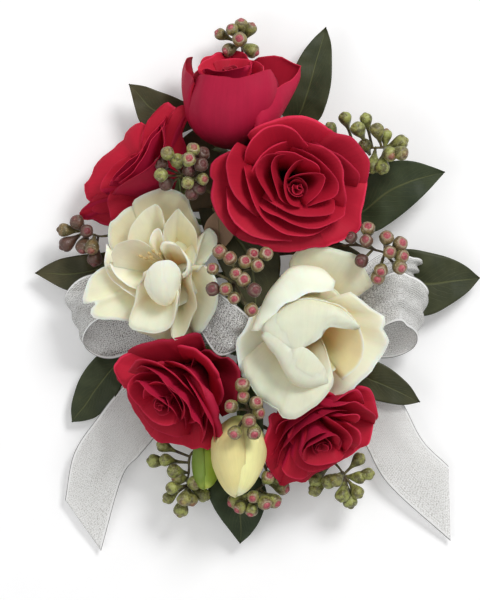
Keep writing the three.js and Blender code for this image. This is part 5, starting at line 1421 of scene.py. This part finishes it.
class CORSAGE_OT_eucalyptus(bpy.types.Operator):
    """Ten sprigs of seeded eucalyptus: a pod on each pedicel of each twig"""

    bl_idname = "corsage.eucalyptus"
    bl_label = "Seeded eucalyptus"

    def execute(self, context):
        shape = pod_shape()
        tree = pod_nodes(shape)
        for number, (name, spec) in enumerate(SPRIGS.items()):
            self.sprig(name, spec, tree, number)
        bpy.data.objects.remove(shape)
        return {"FINISHED"}

    def sprig(self, name, spec, tree, number):
        """A twig from the spine, with a pedicel to each pod from the nearest part of the twig"""
        facing, radius, length = spec["facing"], sizes().twig, sizes().pod_length
        rng = random.Random(900 + number)
        places = [(0, spec["root"], STALK_Z)] + spec["route"]
        path = smooth_path([share(place) for place in places], 48)
        shell = Shell()
        shell.rings(tube_rings(
            path, lambda t: radius * (1.25 - 0.55 * t) * (1 + 0.1 * math.sin(60 * t)), sides=9))
        feet, aims, scales, blushes, browns_and_shade = [], [], [], [], []
        for k, place in enumerate(spec["pods"]):
            centre = share(place)

            def gap(mark):
                return (mark - centre).length + 0.3 * abs(mark.z - centre.z)

            start = min(path[20:], key=gap)
            out = (centre - start).normalized()
            aim = (out * (1 - facing) + Vector((0.1, 0.12, 1)) * facing).normalized()
            size = rng.uniform(0.92, 1.14)
            foot = centre - aim * length * size * POD_MIDDLE
            sag = foot.lerp(start, 0.5) - aim * 0.8 * MM
            stalk = smooth_path([start, sag, foot + aim * 0.6 * MM], 10)
            shell.rings(tube_rings(stalk, lambda t: (0.5 + 0.12 * t) * MM, sides=8))
            feet.append(foot)
            aims.append(aim)
            scales.append(size)
            blushes.append(min(1, max(0, spec["pink"] + rng.uniform(-0.2, 0.2))))
            browns_and_shade.append(min(1, max(0, spec["brown"] + rng.uniform(-0.25, 0.25))))
            # A pod in the shade gets the most brown, which paints it near-black: painted shade
            if k in spec.get("dark", ()):
                browns_and_shade[-1] = 1
        twig = shell.piece(f"{name}_twig", [twig_material()])
        mesh = bpy.data.meshes.new(f"{name}_pods")
        mesh.from_pydata(feet, [], [])
        layer = mesh.attributes.new("aim", "FLOAT_VECTOR", "POINT")
        layer.data.foreach_set("vector", [part for aim in aims for part in aim])
        for label, values in (("size", scales), ("brown", browns_and_shade), ("blush", blushes)):
            mesh.attributes.new(label, "FLOAT", "POINT").data.foreach_set("value", values)
        pods = linked(f"{name}_pods", mesh)
        width = sizes().pod_width
        settle_nodes(pods, tree, {"Pod width": width, "Pod length": length, "Seed": number})
        settle(pods, "seed", name)
        settle(twig, "seed", name)


# Leaves: the two edges from base to tip in pixels, heights along them in millimetres, how far the
# blade folds up from its midrib, where the stalk meets the spine, how brown the blade is, and the
# stalk's bends
LEAVES = {
    "leaf_top_right": dict(
        left=[(290, 124), (281, 112), (284, 96), (291, 76), (301, 55), (313, 39), (326, 27)],
        right=[(300, 130), (318, 121), (326, 105), (331, 84), (332, 62), (331, 43), (326, 27)],
        height=(10, 14, 14, 11), fold=2.2, root=0.43, tint=0.2,
    ),
    "leaf_top_left": dict(
        left=[(194, 128), (172, 136), (152, 131), (140, 122), (135, 108), (132, 96), (129, 84)],
        right=[(200, 108), (191, 104), (183, 101), (172, 96), (158, 91), (144, 86), (129, 84)],
        height=(10, 12, 13, 13), fold=1.5, root=0.42, tint=0.45,
    ),
    "leaf_right_upper": dict(
        left=[(352, 205), (364, 180), (378, 166), (393, 161), (412, 161), (430, 166), (445, 172)],
        right=[(356, 222), (366, 232), (377, 231), (392, 222), (410, 208), (428, 191), (445, 172)],
        height=(12, 15, 16, 14), fold=2.0, root=0.3, tint=0.1,
    ),
    "leaf_right": dict(
        left=[(390, 262), (398, 252), (410, 249), (432, 253), (450, 258), (466, 266), (480, 278)],
        right=[(390, 290), (402, 308), (416, 316), (433, 314), (450, 305), (468, 292), (480, 278)],
        height=(8, 9, 9, 6), fold=1.6, root=0.05, tint=0.22,
    ),
    "leaf_right_lower": dict(
        left=[(352, 352), (364, 358), (376, 361), (388, 367), (400, 376), (411, 387), (420, 402)],
        right=[(346, 378), (352, 390), (364, 397), (378, 401), (392, 404), (406, 405), (420, 402)],
        height=(10, 12, 12, 10), fold=1.4, root=-0.28, tint=0.3,
        stalk=[(0.34, -0.32, 0.16), (0.25, -0.26, 0.21), (0.14, -0.25, 0.2), (0.065, -0.27, 0.14)],
    ),
    "leaf_left_lower": dict(
        left=[(128, 350), (104, 352), (91, 362), (80, 378), (74, 394), (71, 408), (72, 422)],
        right=[(134, 366), (124, 382), (116, 396), (106, 408), (96, 417), (84, 421), (72, 422)],
        height=(4, 6, 5, 4), fold=0.9, root=-0.12, tint=0.15,
    ),
    "leaf_left": dict(
        left=[(112, 250), (100, 253), (88, 254), (74, 256), (60, 259), (47, 265), (35, 273)],
        right=[(112, 268), (104, 280), (94, 288), (80, 291), (66, 290), (50, 282), (35, 273)],
        height=(9, 10, 9, 6), fold=1.4, root=-0.03, tint=0.45, stalk=[(-0.28, -0.02, 0.045)],
    ),
    "leaf_bottom": dict(
        left=[(226, 466), (212, 478), (208, 492), (213, 506), (221, 519), (231, 532),
            (240, 543.5)],
        right=[(248, 466), (262, 480), (267, 495), (264, 510), (258, 524), (249, 536),
            (240, 543.5)],
        height=(9, 11, 10, 6), fold=1.6, root=-0.6, tint=0.05,
    ),
    # Its blade reaches in under the blooms, and its brown tint of 0.9 makes it a dark backing in
    # the gaps between them: partly the leaf's own brown, partly painted shade
    "leaf_left_upper": dict(
        left=[(226, 150), (202, 128), (178, 142), (152, 168), (132, 186), (116, 195), (110, 208)],
        right=[(226, 172), (214, 206), (188, 212), (164, 206), (144, 208), (126, 212), (110, 208)],
        height=(5, 6, 8, 9), fold=1.0, root=0.26, tint=0.9,
    ),
    "leaf_middle": dict(
        left=[(198, 208), (203, 228), (212, 248), (221, 268), (231, 288), (243, 306), (255, 320)],
        right=[(230, 208), (252, 226), (271, 240), (280, 256), (279, 278), (270, 302), (255, 320)],
        height=(20, 22, 23, 22), fold=1.2, root=0.3, tint=0.35,
    ),
    "leaf_tan": dict(
        left=[(214, 246), (208, 240), (204, 232), (205, 225), (208, 219), (213, 214), (219, 210)],
        right=[(226, 246), (231, 240), (234, 234), (234, 226), (231, 219), (226, 213), (219, 210)],
        height=(26, 29, 32, 34), fold=0.8, root=0.26, tint=1.0, stalk=[(-0.06, 0.23, 0.16)],
    ),
    "leaf_olive": dict(
        left=[(314, 240), (322, 241), (332, 241), (342, 243), (352, 248), (360, 253), (366, 259)],
        right=[(316, 250), (324, 256), (334, 260), (344, 262), (354, 263), (361, 262), (366, 259)],
        height=(20, 21, 22, 21), fold=0.7, root=0.2, tint=0.4,
    ),
}


def build_leaf_veins(name):
    """A pale midrib with fine side veins that slant to the tip"""
    tree, _, result = new_group(name, {}, {"Veins": NUMBER, "Height": NUMBER})
    along, across = values_of(tree, "along", "across")
    off = calc("ABSOLUTE", across - 0.5)
    bend = grain(tree, 1.0, 2, stretched(across, along, 5, 9)) * 0.7
    saw = calc("PINGPONG", along * 13 - off * 11 + bend, 0.5)
    side = saw.spread(0.09, 0.0) * off.spread(0.5, 0.1)
    veins = calc("MAXIMUM", off.spread(0.03, 0.008), side * 0.45)
    feed(tree, result, {"Veins": veins, "Height": veins * -1.0})
    return tree


@painted("leaf blade", roughness=0.5, Specular_IOR_Level=0.2)
def leaf_material(tree, shader):
    """Dark green blades, brown or tan where their tint asks for it, and paler below"""
    veins = placed(tree, "leaf veins", build_leaf_veins, {})
    tint, side = values_of(tree, "tint", "side")
    patch, fleck = grain(tree, 90, 5), grain(tree, 900, 3)
    brown = mix(patch, (0.06, 0.036, 0.015, 1), (0.15, 0.1, 0.05, 1))
    colour = coated(
        colours().leaf,
        (patch.spread(0.3, 0.7), (0.037, 0.057, 0.025, 1)),
        (tint * patch.spread(0.25, 0.6, 0.55, 1), brown),
        (tint.spread(0.92, 1.0, 0, 0.85), (0.29, 0.185, 0.12, 1)),
        (side * 0.6, (0.075, 0.09, 0.04, 1)),
        (veins["Veins"] * 0.55, (0.13, 0.14, 0.055, 1)),
        (fleck.spread(0.62, 0.75, 0, 0.12), (0.1, 0.1, 0.05, 1)),
    )
    dress(tree, shader, colour, veins["Height"] + fleck * 0.3, 0.5, 0.35 * MM)


class CORSAGE_OT_leaves(bpy.types.Operator):
    """Twelve leaves, each a thin folded blade on a stalk from the spine"""

    bl_idname = "corsage.leaves"
    bl_label = "Leaves"

    def execute(self, context):
        for number, (name, spec) in enumerate(LEAVES.items()):
            self.leaf(name, spec, number)
        return {"FINISHED"}

    def leaf(self, name, spec, seed):
        shell = Shell()
        grid = self.blade(shell, spec, seed)
        middle = len(grid[0]) // 2
        base = grid[3][middle]
        end = share((0, spec["root"], STALK_Z))
        bends = [share(place) for place in spec.get("stalk", [])] or [base.lerp(end, 0.5)]
        path = smooth_path([base, grid[0][middle]] + bends + [end], 30)
        shell.rings(tube_rings(path, 0.75 * MM, sides=9), slot=1, tint=spec["tint"])
        slot = "leaf_tan" if name == "leaf_tan" else "leaf"
        settle(shell.piece(f"{name}_blade", [leaf_material(), twig_material()]), slot, name)

    def blade(self, shell, spec, seed):
        """A closed blade between its two traced edges, folded along its midrib"""
        rows, half, lowest = 36, 9, 0.6
        flat = [[Vector((px, py, 0)) for px, py in spec[side]] for side in ("left", "right")]
        left, right = (smooth_path(points, rows) for points in flat)
        grid = []
        for j in range(rows + 1):
            t = j / rows
            row = []
            for i in range(2 * half + 1):
                u = i / half - 1
                pixel = left[j].lerp(right[j], (u + 1) / 2)
                fold = spec["fold"] * (abs(u) ** 1.3 - 0.6) * (1 - 0.6 * t)
                height = between(spec["height"], t) + fold
                rough = wave(pixel, 22, seed) * 0.9
                rough += wave(pixel, 8, seed + 3) * 0.35 * abs(u)
                row.append(spot(pixel.x, pixel.y, max(height + rough, lowest)))
            grid.append(row)
        thick = sizes().leaf
        shell.sheet(grid, lambda j, i: thick * (1.5 - abs(i / half - 1)),
                    [Vector((0, 0, -1))] * len(grid[0]), tone=0.1 * seed, tint=spec["tint"])
        return grid


# The bow: each length of ribbon runs between its two selvages, as shares of the reach. length: its
# flat length in millimetres; pleats: the folds across it; rests: what it lies on
RIBBONS = {
    "ribbon_loop_left": dict(
        length=153, pleats=2.5, rests=("stem_spine",),
        upper=[(-0.0115, -0.156, 0.122), (-0.2, -0.05, 0.085), (-0.45, -0.02, 0.08),
            (-0.62, -0.065, 0.085), (-0.735, -0.045, 0.13), (-0.72, 0.012, 0.17),
            (-0.648, 0.06, 0.18), (-0.5, 0.075, 0.18), (-0.22, -0.03, 0.17),
            (-0.0115, -0.156, 0.152)],
        lower=[(-0.0115, -0.204, 0.122), (-0.2, -0.22, 0.085), (-0.4, -0.235, 0.075),
            (-0.56, -0.276, 0.08), (-0.65, -0.24, 0.12), (-0.662, -0.18, 0.19),
            (-0.6, -0.118, 0.24), (-0.48, -0.122, 0.245), (-0.24, -0.18, 0.2),
            (-0.0115, -0.204, 0.152)],
    ),
    "ribbon_loop_right": dict(
        length=159, pleats=2.5, rests=("stem_spine",),
        upper=[(-0.0085, -0.156, 0.122), (0.2, -0.15, 0.085), (0.42, -0.06, 0.075),
            (0.6, -0.045, 0.08), (0.7, -0.03, 0.12), (0.71, 0.01, 0.17), (0.65, 0.056, 0.2),
            (0.54, 0.06, 0.21), (0.24, -0.155, 0.16), (-0.0085, -0.156, 0.152)],
        lower=[(-0.0085, -0.204, 0.122), (0.2, -0.3, 0.085), (0.4, -0.27, 0.075),
            (0.56, -0.272, 0.08), (0.65, -0.235, 0.11), (0.666, -0.184, 0.17),
            (0.632, -0.15, 0.22), (0.56, -0.136, 0.24), (0.26, -0.31, 0.16),
            (-0.0085, -0.204, 0.152)],
    ),
    "ribbon_loop_right_upper": dict(
        length=162, pleats=3.5, rests=("ribbon_loop_right",),
        upper=[(-0.0085, -0.156, 0.132), (0.22, -0.15, 0.105), (0.46, 0.1, 0.1),
            (0.6, 0.165, 0.08), (0.685, 0.12, 0.09), (0.66, 0.13, 0.14), (0.54, 0.12, 0.155),
            (0.26, -0.15, 0.13), (-0.0085, -0.156, 0.142)],
        lower=[(-0.0085, -0.204, 0.132), (0.26, -0.27, 0.105), (0.5, -0.02, 0.12),
            (0.58, 0.0, 0.12), (0.635, 0.0, 0.13), (0.62, 0.01, 0.16), (0.54, -0.02, 0.175),
            (0.3, -0.27, 0.135), (-0.0085, -0.204, 0.142)],
    ),
    "ribbon_loop_centre": dict(
        length=49, pleats=2, rests=("ribbon_loop_left",),
        upper=[(-0.0115, -0.156, 0.161), (-0.06, -0.1, 0.185), (-0.11, -0.03, 0.2),
            (-0.14, 0.0, 0.225), (-0.14, 0.0, 0.265), (-0.11, -0.02, 0.29), (-0.04, -0.072, 0.28),
            (0, -0.115, 0.245), (-0.02, -0.15, 0.21)],
        lower=[(-0.0115, -0.204, 0.161), (-0.07, -0.19, 0.2), (-0.15, -0.16, 0.215),
            (-0.2, -0.14, 0.235), (-0.21, -0.145, 0.265), (-0.192, -0.176, 0.29),
            (-0.128, -0.262, 0.28), (-0.05, -0.24, 0.25), (-0.03, -0.22, 0.215)],
    ),
    "ribbon_tail_left": dict(
        length=110, pleats=2, rests=("stem_spine",),
        upper=[(-0.0115, -0.156, 0.112), (-0.14, -0.12, 0.07), (-0.32, -0.2, 0.045),
            (-0.512, -0.388, 0.055), (-0.608, -0.508, 0.07), (-0.704, -0.654, 0.06),
            (-0.74, -0.84, 0.03)],
        lower=[(-0.0115, -0.204, 0.112), (-0.12, -0.24, 0.075), (-0.25, -0.38, 0.055),
            (-0.36, -0.56, 0.07), (-0.44, -0.66, 0.08), (-0.512, -0.752, 0.06),
            (-0.596, -1.044, 0.02)],
    ),
    "ribbon_tail_right": dict(
        length=112, pleats=2, rests=("stem_spine",),
        upper=[(-0.0085, -0.156, 0.112), (0.14, -0.13, 0.09), (0.36, -0.2, 0.086),
            (0.53, -0.32, 0.088), (0.616, -0.46, 0.086), (0.69, -0.6, 0.06),
            (0.794, -0.704, 0.03)],
        lower=[(-0.0085, -0.204, 0.112), (0.12, -0.25, 0.09), (0.24, -0.37, 0.088),
            (0.4, -0.5, 0.088), (0.468, -0.632, 0.078), (0.56, -0.785, 0.06),
            (0.802, -1.004, 0.02)],
    ),
}


SWING = 1.4 * MM  # how far a pleat may stand off the ribbon's own surface


def build_weave(name):
    """Open weave from the ribbon's own two directions: threads, holes and woven selvages"""
    tree, given, result = new_group(
        name,
        {"Across": 0.0, "Along": 0.0, "Threads across": 46.0, "Threads along": 46.0},
        {"Cover": NUMBER, "Height": NUMBER, "Selvage": NUMBER, "Edge": NUMBER},
    )
    turns = [given[way] * given[f"Threads {way.lower()}"] for way in ("Across", "Along")]
    cover = calc("MAXIMUM", *(calc("PINGPONG", turn, 0.5).spread(0.16, 0.3) for turn in turns))
    edge = calc("ABSOLUTE", given["Across"] - 0.5)
    selvage = edge.spread(0.445, 0.46)
    feed(tree, result, {"Cover": cover, "Height": calc("MAXIMUM", cover, selvage),
                        "Selvage": selvage, "Edge": edge.spread(0.485, 0.492)})
    return tree


@painted("organza", roughness=0.34, Specular_IOR_Level=0.6)
def ribbon_material(tree, shader):
    """Sheer silver organza: see-through between its threads, with slubs and denser selvages"""
    across, along, tint = values_of(tree, "across", "along", "tint")
    weave = placed(tree, "open weave", build_weave, {
        "Across": across, "Along": along, "Threads across": 27.0, "Threads along": 27.0})
    cloud = grain(tree, 240, 3)
    slub = grain(tree, 1.0, 2, stretched(across, along, 44, 44), 0.8)
    colour = coated(
        # Where tint is 1 the colour between the threads goes to dark brown: painted shade inside
        # the loops
        mix(tint, (0.55, 0.54, 0.51, 1), (0.07, 0.06, 0.045, 1)),
        (slub.spread(0.4, 0.52), colours().silver),
        (cloud.spread(0.3, 0.75, 0, 0.2), (0.95, 0.95, 0.94, 1)),
        (weave["Selvage"], (0.95, 0.95, 0.94, 1)),
        (weave["Edge"], (0.22, 0.22, 0.21, 1)),
    )
    sheer = calc("MAXIMUM", weave["Cover"] * 0.66 + 0.06, weave["Selvage"] * 0.9)
    dress(tree, shader, colour, weave["Height"], 0.35, 0.15 * MM)
    feed(tree, shader, {"Alpha": sheer})


class CORSAGE_OT_bow(bpy.types.Operator):
    """The bow of sheer silver ribbon, two cut tails, and the twisted wire that gathers it"""

    bl_idname = "corsage.bow"
    bl_label = "Ribbon bow"

    def execute(self, context):
        for seed, (name, spec) in enumerate(RIBBONS.items()):
            self.ribbon(name, spec, seed)
        self.wire()
        return {"FINISHED"}

    def ribbon(self, name, spec, seed):
        """A closed length of ribbon, pleated where its selvages lie closer than its flat width"""
        steps, columns = 120, 26
        width = sizes().ribbon_width
        pleats = spec["pleats"]
        upper, lower = ([share(place) for place in spec[side]] for side in ("upper", "lower"))
        upper, lower = (fine_path(points, steps // (len(points) - 1)) for points in (upper, lower))
        rows = len(upper)
        grid = []
        for j in range(rows):
            t = j / (rows - 1)
            a, b = upper[j], lower[j]
            gap = (b - a).length
            k = min(j, rows - 2)
            ahead = (upper[k + 1] + lower[k + 1] - upper[k] - lower[k]).normalized()
            up = (b - a).cross(ahead).normalized()
            slack = max(width / gap, 1) - 1
            swing = min(gap / (math.pi * pleats) * math.sqrt(slack), SWING)
            row = []
            for i in range(columns + 1):
                u = i / columns
                place = a.lerp(b, u)
                fold = math.sin(2 * math.pi * pleats * u + 1.5 * t + seed)
                fold *= math.sin(math.pi * u) ** 0.3
                drift = wave(place, 14 * MM, seed + 40) * 0.5 * MM * math.sin(math.pi * u)
                place = place + up * (fold * swing + drift)
                place.z = max(place.z, FLOOR_GAP)
                row.append(place)
            grid.append(row)
        shell = Shell()
        stretch = spec["length"] * MM / width
        shell.sheet(grid, sizes().ribbon, [Vector((0, 0, 1))] * (columns + 1),
                    # The loops get tint and the tails get none: painted shade inside the loops
                    tint=0.55 if "loop_right" in name else float("loop" in name),
                    alongs=[j / (rows - 1) * stretch for j in range(rows)])
        made = settle(shell.piece(f"{name}_organza", [ribbon_material()]), "ribbon", name)
        spec["length"] * MM

    def wire(self):
        """Two strands of wire twisted round each other into a ring"""
        low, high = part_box("bow_wire")
        centre = (Vector(low) + Vector(high)) / 2
        strand_radius = 0.3 * MM
        ring = (high[2] - low[2]) / 2 - 2 * strand_radius
        steps, turns = 120, 14
        shell = Shell()
        for strand in range(2):
            path = []
            for k in range(steps):
                angle = 2 * math.pi * k / steps
                twist = angle * turns + math.pi * strand
                reach = ring + strand_radius * math.cos(twist)
                path.append(centre + Vector((strand_radius * math.sin(twist),
                                             reach * math.cos(angle), reach * math.sin(angle))))
            shell.rings(tube_rings(path, strand_radius, sides=8)[:-1], closed=True)
        settle(shell.piece("bow_binding", [steel_material()]), "wire", "bow_wire")


# The pins

@painted("pin steel", roughness=0.25, Metallic=1.0)
def steel_material(tree, shader):
    scratch = grain(tree, 2200, 2)
    feed(tree, shader, {
        "Base Color": mix(scratch, (0.5, 0.51, 0.53, 1), (0.74, 0.75, 0.77, 1)),
        "Roughness": scratch * 0.2 + 0.16,
    })


@painted("pin pearl", roughness=0.2, Coat_Weight=0.6, Coat_Roughness=0.08, Sheen_Weight=0.2)
def pearl_material(tree, shader):
    lustre = grain(tree, 240, 3)
    feed(tree, shader, {
        "Base Color": mix(lustre, (0.86, 0.8, 0.74, 1), (0.9, 0.9, 0.88, 1)),
        "Roughness": lustre * 0.14 + 0.12,
    })


# What each part of a pin is turned from: its piece's ending, its material and slot, its sides, its
# share of its node's width, and its (radius, height) pairs from its right end to its left
PIN_PARTS = {
    "shank": ("steel", steel_material, "pin_steel", 16, 0.96, (
        (0.9, 0), (1, 0.01), (1, 0.5), (1, 0.95), (0.7, 0.97), (0.35, 0.99), (0.05, 1))),
    "pearl": ("bead", pearl_material, "pearl", 32, 1, (
        (0.04, 0), (0.3, 0.03), (0.62, 0.11), (0.86, 0.24), (0.98, 0.4), (1, 0.5), (0.96, 0.64),
        (0.82, 0.8), (0.6, 0.93), (0.44, 1), (0.3, 1), (0.24, 0.98), (0.24, 0.42), (0.02, 0.4))),
}


class CORSAGE_OT_pins(bpy.types.Operator):
    """Two corsage pins, each a steel shank with a pearl head"""

    bl_idname = "corsage.pins"
    bl_label = "Pins"

    def execute(self, context):
        for pin in ("pin_upper", "pin_lower"):
            for part, (ending, material, slot, sides, fit, profile) in PIN_PARTS.items():
                low, high = (Vector(corner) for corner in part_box(f"{pin}_{part}"))
                start = Vector((high.x, (low.y + high.y) / 2, (low.z + high.z) / 2))
                radius = (high.y - low.y) / 2
                shell = Shell()
                shell.rings(turned_rings(profile, start, Vector((-1, 0, 0)), sides,
                                         high.x - low.x, radius * fit))
                made = shell.piece(f"{pin}_{ending}", [material()])
                settle(made, slot, f"{pin}_{part}", body=pin)
        return {"FINISHED"}


# The stage

class CORSAGE_OT_stage(bpy.types.Operator):
    """The pale floor, the soft lamps and the camera straight above the corsage"""

    bl_idname = "corsage.stage"
    bl_label = "Stage"

    def execute(self, context):
        scene = context.scene
        scene.view_settings.view_transform = "Standard"
        self.floor()
        self.world(scene)
        self.lamp("key_lamp", (0.55, 0.75, 1.0), size=0.5, power=10.6)
        self.lamp("fill_lamp", (-0.8, -0.3, 1.1), size=0.9, power=3.2)
        data = bpy.data.cameras.new("front_camera")
        data.sensor_fit = "VERTICAL"
        data.sensor_height = 36
        data.lens = data.sensor_height * (VIEW.z - SHARP) / FIELD
        data.clip_end = 20
        camera = linked("front_camera", data)
        camera.location = VIEW
        scene.camera = camera
        return {"FINISHED"}

    def floor(self):
        half = 2
        corners = [(-half, -half), (half, -half), (half, half), (-half, half)]
        mesh = bpy.data.meshes.new("floor")
        mesh.from_pydata([(x, y, -FLOOR_GAP) for x, y in corners], [], [(0, 1, 2, 3)])

        def paint(tree, shader):
            fibre = grain(tree, 60, 4)
            seen = Value(tree, node(tree, "ShaderNodeLightPath").outputs["Is Camera Ray"])
            feed(tree, shader, {
                "Base Color": mix(fibre, (0.93, 0.93, 0.935, 1), (0.97, 0.97, 0.97, 1)),
                "Emission Color": WHITE,
                "Emission Strength": seen * 0.14,
            })

        mesh.materials.append(material_of("floor", paint, roughness=0.9, Specular_IOR_Level=0.0))
        floor = linked("floor", mesh)

    def world(self, scene):
        """A white studio all round, dimmer as a light than as what the camera sees"""
        world = scene.world or bpy.data.worlds.new("studio")
        scene.world = world
        world.use_nodes = True
        tree = world.node_tree
        tree.nodes.clear()
        path = node(tree, "ShaderNodeLightPath")
        camera, glossy, through = (Value(tree, path.outputs[f"Is {kind} Ray"])
                                   for kind in ("Camera", "Glossy", "Transmission"))
        seen = calc("MAXIMUM", calc("MAXIMUM", camera, glossy), through)
        back = node(tree, "ShaderNodeBackground", {"Color": WHITE, "Strength": seen * 0.55 + 0.45})
        node(tree, "ShaderNodeOutputWorld", {0: back.outputs[0]})

    def lamp(self, name, place, size, power):
        data = bpy.data.lights.new(name, "AREA")
        data.shape = "DISK"
        data.size = size
        data.energy = power
        lamp = linked(name, data)
        lamp.location = place
        lamp.rotation_euler = (-Vector(place)).to_track_quat("-Z", "Y").to_euler()


PIECES = (
    CORSAGE_OT_stage,
    CORSAGE_OT_stems,
    CORSAGE_OT_roses,
    CORSAGE_OT_freesias,
    CORSAGE_OT_buds,
    CORSAGE_OT_eucalyptus,
    CORSAGE_OT_leaves,
    CORSAGE_OT_bow,
    CORSAGE_OT_pins,
)


class CORSAGE_PT_panel(bpy.types.Panel):
    """The corsage's sizes, colours and pieces"""

    bl_idname = "CORSAGE_PT_panel"
    bl_label = "Corsage"
    bl_space_type = "VIEW_3D"
    bl_region_type = "UI"
    bl_category = "Corsage"

    def draw(self, context):
        for group in (context.scene.corsage_sizes, context.scene.corsage_colours):
            column = self.layout.column()
            for name in group.bl_rna.properties.keys():
                if name not in ("rna_type", "name"):
                    column.prop(group, name)
        for piece in PIECES:
            self.layout.operator(piece.bl_idname)


CLASSES = (CORSAGE_PG_sizes, CORSAGE_PG_colours, *PIECES, CORSAGE_PT_panel)


def register():
    for made in CLASSES:
        bpy.utils.register_class(made)
    bpy.types.Scene.corsage_sizes = bpy.props.PointerProperty(type=CORSAGE_PG_sizes)
    bpy.types.Scene.corsage_colours = bpy.props.PointerProperty(type=CORSAGE_PG_colours)


def unregister():
    del bpy.types.Scene.corsage_colours
    del bpy.types.Scene.corsage_sizes
    for made in reversed(CLASSES):
        bpy.utils.unregister_class(made)


def main():
    register()
    for piece in PIECES:
        group, name = piece.bl_idname.split(".")
        getattr(getattr(bpy.ops, group), name)()


if __name__ == "__main__":
    main()
